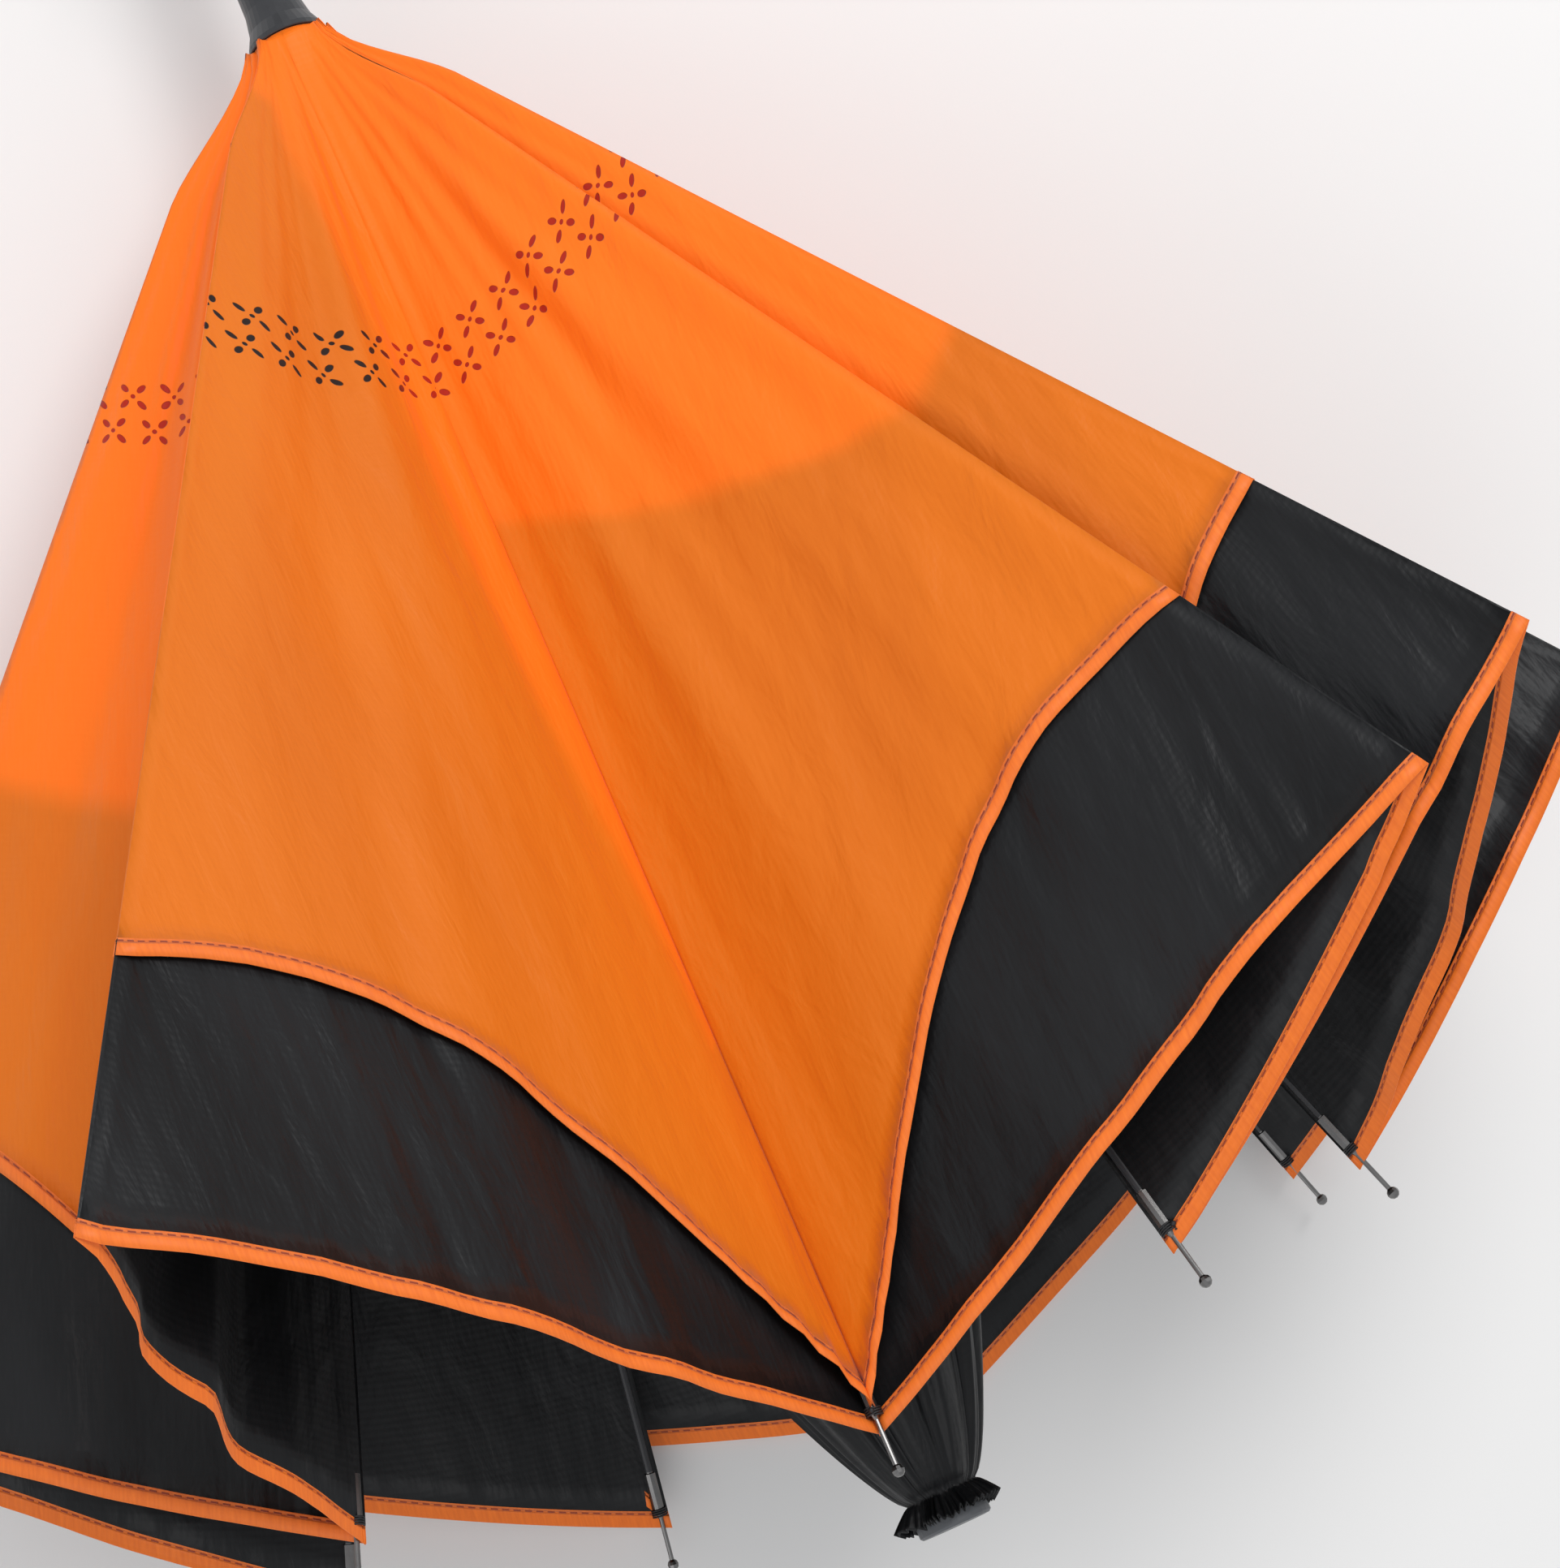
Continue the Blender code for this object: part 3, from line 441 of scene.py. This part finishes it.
# Each canopy is cut as eight gores and sewn along the ribs. A gore folds in two when the umbrella
# closes, so each side of a rib carries one half of a gore, and the halves meet at the fold.
GORE_ANGLE = math.radians(43.2)
FOLD_SHARES = (0.620, 0.502, 0.417, 0.322, 0.6265, 0.627, 0.497, 0.360)
ORANGE_THICKNESS = 0.0003
BLACK_THICKNESS = 0.0002
HUB_START = 0.0315
BLACK_START = 0.047
LAYER_GAP = 0.0014
SEAM_OVERLAP = 0.0005
SEAM_POWER = 8
CLEAR_OF_RIB = 0.0009
RIB_POWER = 3
COLUMNS = 40
ROWS = 60
COLUMN_POWER = 1.25
BINDING_PROUD = 0.0004
BINDING_SHARE = 0.985
BOUND_SHARE = 0.99
AREA_STEPS = 60

# How the cloth is gathered at the collar, and where it meets the table
COLLAR_RING = 0.0144
COLLAR_FACE = -0.0042
COLLAR_GATHER = 0.014
OVER_RING = 0.0006
GATHER_WAVE = 0.0005
GATHER_WAVES = 16
BLACK_IN_GATHER = 0.0012
BLACK_AT_RING = 0.0008
GATHERED_LENGTH = 0.075
GATHERED_SHARE = 0.20
OVER_TABLE = 0.0012
BLACK_OVER_ORANGE = 0.0016
TABLE_SOFTNESS = 0.0020
TABLE_FELT_WITHIN = 8

# How it bulges, pulls and pleats between its seams
BULGE_SHARE = 0.045
BULGE_POWER = 1.2
PULL_POWER = 0.6
BROAD_PULL, BROAD_ACROSS, BROAD_ALONG = 0.0080, 4.0, 1.4
NARROW_PULL, NARROW_ACROSS, NARROW_ALONG = 0.0035, 10.0, 2.6
CREASE, CREASES_ACROSS, CREASES_ALONG = 0.0011, 70, 9
FLAT_HUB_SHARE = 0.3
PLEAT_SPAN_SHARES = (0.55, 0.95)
PLEAT_PITCH = 0.0095
PLEAT_DEPTH = 0.0026
PLEAT_REACH = 0.030
PLEAT_START = 0.004
PLEAT_DRIFT, PLEAT_DRIFT_ALONG = 3, 4
INWARD_SHARE = 0.3
OUTWARD_SHARE = 0.6

# Hems as shares of the reach from apex to rib tip, and where black cloth lies behind the orange
ORANGE_HEM = {"rib": 0.966, "middle": 0.742, "power": 2.1}
BLACK_HEM = {"rib": 0.979, "middle": 0.910, "power": 1.6}
BLACK_EDGE_AT_RIB = 0.365
BLACK_EDGE_AT_FOLD = 0.335
TOP_GORE_EDGE_AT_RIB = 0.255
TOP_GORE_EDGE_AT_FOLD = 0.345
DEEP_PANEL_START = 0.066
DEEP_PANEL_FROM_RIB = 0.017
DEEP_PANEL_TO_RIB = 0.480
DEEP_PANEL_TAPER = 0.2
DEEP_PANEL_OVER_RIB = 0.016


def smooth(low, high, x):
    share = min(1, max(0, (x - low) / (high - low)))
    return share * share * (3 - 2 * share)


def fold_ray(i):
    """The line that gore i folds on, between rib i and the next."""
    first, second, share = rib_ray(i), rib_ray(i + 1), FOLD_SHARES[i % RIB_COUNT]
    near, far = math.cos(share * GORE_ANGLE), math.cos((1 - share) * GORE_ANGLE)
    dot = first.dot(second)
    flat = (first * (near - dot * far) + second * (far - dot * near)) / (1 - dot * dot)
    rise = first.cross(second).normalized() * math.sqrt(1 - flat.length_squared)
    return (flat + rise).normalized()


def square_to(axis, other):
    """The way of a ray's part that stands square on an axis."""
    return (other - axis * axis.dot(other)).normalized()


def outside(i, side):
    """The way that the orange side of a half-gore faces."""
    rib, other = rib_ray(i), rib_ray(i + side)
    normal = rib.cross(fold_ray(i if side > 0 else i - 1)).normalized()
    return normal if normal.dot(other - rib) < 0 else -normal


class HalfGore:
    """The shape of the cloth from a rib to the fold of the gore beside it."""

    def __init__(self, i, side):
        self.i, self.side = i, side
        self.gore = i if side > 0 else (i - 1) % RIB_COUNT
        self.rib, self.fold, other = rib_ray(i), fold_ray(self.gore), rib_ray(i + side)
        self.width = self.rib.angle(self.fold)
        self.out = outside(i, side)
        self.off_rib = (outside(i, 1) + outside(i, -1)).normalized()
        self.half_angle = square_to(self.fold, self.rib).angle(square_to(self.fold, other)) / 2
        self.way = rib_way(i)
        flares = [rib_way((i + k * side) % RIB_COUNT).angle(SHAFT_WAY) for k in range(3)]
        self.rib_slope = math.tan(max(flares))
        self.across = square_to(self.rib, self.fold)
        beyond = square_to(self.rib, fold_ray((i - 1) % RIB_COUNT if side > 0 else i))
        self.valley = self.out.dot(beyond) > 0
        self.rib_half_angle = self.across.angle(beyond) / 2
        self.seed = Vector((self.gore * 3.7 + 0.4, side * 1.3, i * 0.9))

    def rib_drift(self, distance):
        """From the ray to the rib's centre, at a distance from the apex."""
        hinge = HINGES[self.i] - APEX
        along = (distance - hinge.dot(self.rib)) / self.way.dot(self.rib)
        return hinge + self.way * along - self.rib * distance

    def wrinkles(self, distance, v, room, rib_room, layer):
        """Bulge, pulls from hub to tip, and pleats, as far as the neighbouring cloth allows."""
        size = distance / REACH
        beside = v * self.width * distance
        height = math.sin(math.pi * v) ** BULGE_POWER * self.width * distance * BULGE_SHARE
        broad = Vector((v * BROAD_ACROSS, size * BROAD_ALONG, 0))
        narrow = Vector((v * NARROW_ACROSS, size * NARROW_ALONG, 5))
        crease = Vector((beside * CREASES_ACROSS, distance * CREASES_ALONG, 9))
        pulls = noise.noise(self.seed + broad) * BROAD_PULL
        pulls += noise.noise(self.seed * 2 + narrow) * NARROW_PULL
        pulls += noise.noise(self.seed * 3 + crease) * CREASE
        height += pulls * math.sin(math.pi * v) ** PULL_POWER
        near_tip = smooth(*PLEAT_SPAN_SHARES, size) * math.exp(-(beside / PLEAT_REACH) ** 2)
        drift = noise.noise(self.seed + Vector((0, size * PLEAT_DRIFT_ALONG, 2))) * PLEAT_DRIFT
        pleat = (1 - layer) * (1 + math.sin(beside * 2 * math.pi / PLEAT_PITCH + drift))
        height += pleat * near_tip * PLEAT_DEPTH / 2 * smooth(0, PLEAT_START, beside)
        least = -INWARD_SHARE * (room if self.valley else min(room, rib_room))
        most = OUTWARD_SHARE * rib_room if self.valley else math.inf
        return min(max(height * smooth(0, FLAT_HUB_SHARE, size), least), most)

    def gathered(self, place, distance, v, layer):
        """The place after the cloth is drawn in round the collar's ring."""
        along = (place - HUB).dot(SHAFT_WAY)
        off = place - HUB - SHAFT_WAY * along
        spread = smooth(HUB_START, HUB_START + GATHERED_LENGTH, distance)
        spread = GATHERED_SHARE + (1 - GATHERED_SHARE) * spread
        tight = COLLAR_RING + OVER_RING + max(0, along) * self.rib_slope
        tight += GATHER_WAVE * math.cos(v * GATHER_WAVES + self.i) * (1 - layer)
        tight -= BLACK_IN_GATHER * layer
        radius = min(off.length, off.length * spread + tight * (1 - spread))
        radius = max(radius, COLLAR_RING - layer * BLACK_AT_RING)
        at_collar = 1 - smooth(HUB_START, HUB_START + COLLAR_GATHER, distance)
        place = place + off.normalized() * (radius - off.length)
        return place + SHAFT_WAY * (COLLAR_FACE - along) * at_collar

    def point(self, distance, v, layer):
        """A place on the cloth. Layer 0 is the orange cloth, and layer 1 the black, inside it."""
        angle = v * self.width - SEAM_OVERLAP / distance * (1 - v) ** SEAM_POWER
        way = math.sin(self.width - angle) * self.rib + math.sin(angle) * self.fold
        place = APEX + way * (distance / math.sin(self.width))
        room = distance * math.sin(self.width - angle) * math.sin(self.half_angle)
        rib_room = distance * math.sin(max(0, angle)) * math.sin(self.rib_half_angle)
        beside_rib = (1 - v) ** RIB_POWER
        off_rib = self.off_rib * (RIB_TUBE_RADIUS + CLEAR_OF_RIB) * (1 - 2 * layer)
        place += (self.rib_drift(distance) + off_rib) * beside_rib
        gap = min(LAYER_GAP, room / 2, math.inf if self.valley else rib_room / 2)
        inside = layer * gap * (1 - beside_rib)
        place += self.out * (self.wrinkles(distance, v, room, rib_room, layer) - inside)
        place = self.gathered(place, distance, v, layer)
        low = cad_box[0][2] + OVER_TABLE + layer * BLACK_OVER_ORANGE
        above = (place.z - low) / TABLE_SOFTNESS
        if above < TABLE_FELT_WITHIN:
            place.z = low + TABLE_SOFTNESS * math.log1p(math.exp(above))
        return place

    def hem(self, v, hem):
        """How far from the apex the cloth ends."""
        share = abs(2 * v * self.width / GORE_ANGLE - 1) ** hem["power"]
        return REACH * (hem["middle"] + (hem["rib"] - hem["middle"]) * share)


def black_cloth_behind(gore, distance, v):
    """Above 0 where a second, black layer lies against the orange one, in metres from its edge."""
    if gore.i == 0 and gore.side < 0:
        taper = smooth(DEEP_PANEL_TO_RIB - DEEP_PANEL_TAPER, DEEP_PANEL_TO_RIB, distance)
        from_edge = v * gore.width * distance - DEEP_PANEL_FROM_RIB * (1 - taper)
        from_edge += DEEP_PANEL_OVER_RIB * (distance > DEEP_PANEL_TO_RIB)
        return min(distance - DEEP_PANEL_START, from_edge)
    if gore.i == 0:
        edge_slope = TOP_GORE_EDGE_AT_FOLD - TOP_GORE_EDGE_AT_RIB
        return distance - TOP_GORE_EDGE_AT_RIB - edge_slope * v
    return distance - BLACK_EDGE_AT_RIB - (BLACK_EDGE_AT_FOLD - BLACK_EDGE_AT_RIB) * v


def half_gore_mesh(name, gore, hem, start, layer, cloth):
    """A grid shaped to the half-gore, finer by the rib, with its last two rows as the binding."""
    work = bmesh.new()
    bmesh.ops.create_grid(work, x_segments=COLUMNS, y_segments=ROWS, size=0.5)
    flat_uv, hem_uv = work.loops.layers.uv.new("cloth"), work.loops.layers.uv.new("hem")
    behind = work.verts.layers.float.new("black_behind")
    flat = {}
    for vert in work.verts:
        column, row = vert.co.x + 0.5, round((vert.co.y + 0.5) * ROWS)
        v = column ** COLUMN_POWER
        end = gore.hem(v, hem)
        distance = start + (end - HEM_WIDTH - start) * min(1, row / (ROWS - 2))
        proud = 0
        if row > ROWS - 2:
            distance = end - HEM_WIDTH * BINDING_SHARE * (ROWS - row)
            proud = BINDING_PROUD
        vert.co = gore.point(distance, v, layer) + gore.out * proud
        flat[vert] = (v * gore.width * distance * gore.side, distance, end - distance)
        vert[behind] = black_cloth_behind(gore, distance, v)
    bmesh.ops.recalc_face_normals(work, faces=work.faces)
    if sum(face.normal.dot(gore.out) * face.calc_area() for face in work.faces) < 0:
        bmesh.ops.reverse_faces(work, faces=work.faces)
    for face in work.faces:
        face.smooth = True
        middle_from_hem = sum(flat[vert][2] for vert in face.verts) / len(face.verts)
        face.material_index = int(middle_from_hem < HEM_WIDTH * BOUND_SHARE)
        for loop in face.loops:
            across, distance, from_hem = flat[loop.vert]
            loop[flat_uv].uv = (across, distance)
            loop[hem_uv].uv = (across, from_hem)
    mesh = bpy.data.meshes.new(name)
    work.to_mesh(mesh)
    work.free()
    mesh.materials.append(cloth)
    mesh.materials.append(BINDING)
    return mesh


def cut_area(gore, hem, start):
    """The area of the half-gore as it was cut, flat."""
    rings = [gore.hem((k + 0.5) / AREA_STEPS, hem) ** 2 - start ** 2 for k in range(AREA_STEPS)]
    return sum(rings) / 2 * gore.width / AREA_STEPS


def add_piece(name, mesh):
    obj = bpy.data.objects.new(name, mesh)
    bpy.context.scene.collection.objects.link(obj)
    return obj


def thicken(obj, thickness, towards):
    """Gives a sheet its thickness, outwards at 1 and inwards at -1, and keeps that as its mesh."""
    wall = obj.modifiers.new("wall", "SOLIDIFY")
    wall.thickness = thickness
    wall.offset = towards
    graph = bpy.context.evaluated_depsgraph_get()
    mesh = bpy.data.meshes.new_from_object(obj.evaluated_get(graph))
    obj.modifiers.clear()
    obj.data = mesh
    return obj


CANOPIES = (("inner", ORANGE_HEM, HUB_START, ORANGE, (ORANGE_THICKNESS, 1), "orange_cloth"),
            ("outer", BLACK_HEM, BLACK_START, BLACK, (BLACK_THICKNESS, -1), "black_cloth"))
for i in range(RIB_COUNT):
    for side, word in ((-1, "left"), (1, "right")):
        gore = HalfGore(i, side)
        for layer, (kind, hem, start, cloth, wall, slot) in enumerate(CANOPIES):
            name = f"{kind}_canopy_{i + 1}_{word}"
            mesh = half_gore_mesh(name, gore, hem, start, layer, cloth)
            piece = thicken(add_piece(name, mesh), *wall)
            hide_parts(f"{kind}_gore_{i + 1}_{word}")
            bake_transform(piece)
            size = (round(gore.width * REACH * hem["rib"], 3), round(REACH * hem["rib"] - start, 3))
            round(cut_area(gore, hem, start), 4)


# Middle of the black canopy: it is gathered on an elastic under the cap, so it hangs there as a
# pleated cone with a frilled edge. Opening the umbrella draws it flat against the cap.
SLEEVE_LENGTH = 0.092
CAP_FACE = Vector(frame["record"]["mounts"][0]["pos_m"])
CAP_BACK = 0.0042
SLEEVE_NECK = 0.0128
SLEEVE_SLOPE = 0.376
MOUTH_POWER = 0.75
SLEEVE_COLUMNS, SLEEVE_ROWS, FRILL_ROWS = 224, 44, 8
COARSE_PLEATS, FINE_PLEATS = 13, 29
SLEEVE_PLEAT = 0.005
NECK_PLEAT = 0.0004
MOUTH_UNEVENNESS = 0.004
FRILL_LENGTH = 0.0085
FRILL_SPREAD = 0.0058
FRILL_POWER = 0.8
FRILL_WAVES, FRILL_CRIMPS = 31, 53
FRILL_WAVE = 0.0011
FRILL_UNEVENNESS = 0.003
SLEEVE_UV_RADIUS = 0.03
MERGE_WITHIN = 0.00001
SIDEWAYS = SHAFT_WAY.cross(Vector((0, 0, 1))).normalized()
UPRIGHT = SIDEWAYS.cross(SHAFT_WAY)


def sleeve_mesh():
    """A tube from the mouth inside the canopy, in to the elastic, and out again as the frill."""
    work = bmesh.new()
    bmesh.ops.create_grid(work, x_segments=SLEEVE_COLUMNS, y_segments=SLEEVE_ROWS, size=0.5)
    flat_uv = work.loops.layers.uv.new("cloth")
    flat = {}
    for vert in work.verts:
        turn = (vert.co.x + 0.5) * 2 * math.pi
        row = round((vert.co.y + 0.5) * SLEEVE_ROWS)
        around = Vector((math.cos(turn), math.sin(turn), 0))
        uneven = noise.noise(around * 2.3 + Vector((4, 0, 0)))
        if row <= SLEEVE_ROWS - FRILL_ROWS:
            wide = 1 - row / (SLEEVE_ROWS - FRILL_ROWS)
            back = CAP_BACK + FRILL_LENGTH + wide * (SLEEVE_LENGTH - CAP_BACK - FRILL_LENGTH)
            radius = SLEEVE_NECK + wide ** MOUTH_POWER * SLEEVE_LENGTH * SLEEVE_SLOPE
            pleat = 0.6 * math.sin(turn * COARSE_PLEATS + uneven * 4 + wide * 0.8)
            pleat += 0.4 * math.sin(turn * FINE_PLEATS + uneven * 9) * (1 - wide * 0.7)
            radius += (NECK_PLEAT + SLEEVE_PLEAT * wide) * pleat + uneven * MOUTH_UNEVENNESS * wide
        else:
            share = (row - SLEEVE_ROWS + FRILL_ROWS) / FRILL_ROWS
            wave = math.sin(turn * FRILL_WAVES + uneven * 12)
            wave += 0.6 * math.sin(turn * FRILL_CRIMPS + uneven * 7)
            back = CAP_BACK + FRILL_LENGTH * (1 - share) + wave * FRILL_WAVE * share
            radius = SLEEVE_NECK + FRILL_SPREAD * share ** FRILL_POWER
            radius += wave * FRILL_WAVE * (0.3 + share)
            radius += uneven * FRILL_UNEVENNESS * share
        flat[vert] = (turn * SLEEVE_UV_RADIUS, back)
        vert.co = CAP_FACE - SHAFT_WAY * back + (SIDEWAYS * around.x + UPRIGHT * around.y) * radius
    for face in work.faces:
        face.smooth = True
        for loop in face.loops:
            loop[flat_uv].uv = flat[loop.vert]
    bmesh.ops.remove_doubles(work, verts=work.verts, dist=MERGE_WITHIN)
    bmesh.ops.recalc_face_normals(work, faces=work.faces)
    axis_point = CAP_FACE - SHAFT_WAY * SLEEVE_LENGTH / 2
    if sum(face.normal.dot(face.calc_center_median() - axis_point) for face in work.faces) < 0:
        bmesh.ops.reverse_faces(work, faces=work.faces)
    mesh = bpy.data.meshes.new("gathered_sleeve")
    work.to_mesh(mesh)
    work.free()
    mesh.materials.append(BLACK)
    return mesh


sleeve = thicken(add_piece("gathered_sleeve", sleeve_mesh()), BLACK_THICKNESS, -1)
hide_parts("canopy_sleeve")
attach(sleeve, "frame")
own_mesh(sleeve)


# Ties at the rib ends: waxed black thread wound a few times round each ferrule and knotted
# through the corner of both canopies.
THREAD_RADIUS = 0.00035
FERRULE_AND_GAP = 0.0024
TIE_FROM_END = 0.0222
TIE_TURNS = 4
STEPS_A_TURN = 24
TURN_PITCH = THREAD_RADIUS * 2.3
KNOT_RADIUS = THREAD_RADIUS * 2.8
THREAD = hard_finish("waxed_black_thread", (0.006, 0.006, 0.007), (0.016, 0.016, 0.018), 0.6,
                     grain=4000.0)


def tie_mesh(i):
    """A circle spun along a helix round the rib, then a small knot on the outside."""
    way = rib_way(i)
    centre = HINGES[i] + way * (RIB_LENGTH - TIE_FROM_END)
    out = HINGES[i] - HUB
    out = (out - way * out.dot(way)).normalized()
    radius = FERRULE_AND_GAP + THREAD_RADIUS
    work = bmesh.new()
    facing = Matrix((out, way, out.cross(way))).transposed().to_4x4()
    place = Matrix.Translation(centre + out * radius) @ facing
    ring = bmesh.ops.create_circle(work, cap_ends=False, radius=THREAD_RADIUS, segments=8,
                                   matrix=place)
    steps = STEPS_A_TURN * TIE_TURNS
    edges = list({edge for vert in ring["verts"] for edge in vert.link_edges})
    bmesh.ops.spin(work, geom=ring["verts"] + edges, cent=centre, axis=way,
                   angle=TIE_TURNS * 2 * math.pi, dvec=way * (TURN_PITCH * TIE_TURNS / steps),
                   steps=steps, use_merge=False)
    knot = centre + out * (radius + THREAD_RADIUS * 2) + way * THREAD_RADIUS * 4
    bmesh.ops.create_icosphere(work, subdivisions=2, radius=KNOT_RADIUS,
                               matrix=Matrix.Translation(knot))
    bmesh.ops.holes_fill(work, edges=[edge for edge in work.edges if edge.is_boundary], sides=8)
    bmesh.ops.recalc_face_normals(work, faces=work.faces)
    for face in work.faces:
        face.smooth = True
    mesh = bpy.data.meshes.new(f"tie_{i + 1}")
    work.to_mesh(mesh)
    work.free()
    mesh.materials.append(THREAD)
    return mesh


for i in range(RIB_COUNT):
    tie = add_piece(f"tie_{i + 1}", tie_mesh(i))
    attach(tie, f"rib_{i + 1}")


# Table, light and camera: a pale matt table, soft light from above, and the view from above
# that the photograph has.
TABLE_SIZE = 8.0
LIGHTS = (("window", (-0.9, 0.9, 2.2), 1.4, 30), ("room", (1.4, -1.2, 1.9), 2.0, 12))
LIT_PLACE = Vector((0.1, 0, 0.1))
ROOM_COLOUR = (0.95, 0.97, 1.0, 1)
ROOM_STRENGTH = 0.70
CAMERA_PLACE = (0.24777, -0.10738, 1.50712)
CAMERA_TURN = Vector((0.160771, -0.000729, 1.159452))
SENSOR_WIDTH = 36
FOCAL_SHARE = 2.469


def pale_table():
    material, tree = new_material("pale_table")
    sockets = {"Vector": object_place(tree), "Grain": 900.0, "Cloud": 1.5}
    made = fill_group(tree, SURFACE_GRAIN, sockets)
    colour = mixed(tree, made.outputs["Cloud"], (0.80, 0.790, 0.775), (0.85, 0.842, 0.83))
    feed(tree, Base_Color=colour, Roughness=0.6,
         Normal=bumped(tree, made.outputs["Grain"], 0.00005, 0.3))
    return material


work = bmesh.new()
lowest = Matrix.Translation((0, 0, cad_box[0][2]))
bmesh.ops.create_grid(work, x_segments=1, y_segments=1, size=TABLE_SIZE / 2, matrix=lowest)
table_mesh = bpy.data.meshes.new("table")
work.to_mesh(table_mesh)
work.free()
table_mesh.materials.append(pale_table())
table = add_piece("table", table_mesh)

for name, place, size, power in LIGHTS:
    light = bpy.data.lights.new(name, "AREA")
    light.shape = "DISK"
    light.size = size
    light.energy = power
    lamp = bpy.data.objects.new(name, light)
    bpy.context.scene.collection.objects.link(lamp)
    lamp.location = place
    lamp.rotation_euler = (LIT_PLACE - Vector(place)).to_track_quat("-Z", "Y").to_euler()

world = bpy.data.worlds.new("room")
world.use_nodes = True
background = world.node_tree.nodes["Background"]
background.inputs["Color"].default_value = ROOM_COLOUR
background.inputs["Strength"].default_value = ROOM_STRENGTH
bpy.context.scene.world = world

lens = bpy.data.cameras.new("camera")
lens.sensor_fit = "HORIZONTAL"
lens.sensor_width = SENSOR_WIDTH
lens.lens = FOCAL_SHARE * SENSOR_WIDTH
lens.clip_start = 0.01
camera = bpy.data.objects.new("camera", lens)
bpy.context.scene.collection.objects.link(camera)
turn = Matrix.Rotation(CAMERA_TURN.length, 4, CAMERA_TURN.normalized())
camera.matrix_world = Matrix.Translation(CAMERA_PLACE) @ turn
bpy.context.scene.camera = camera
bpy.context.scene.view_settings.view_transform = "Standard"
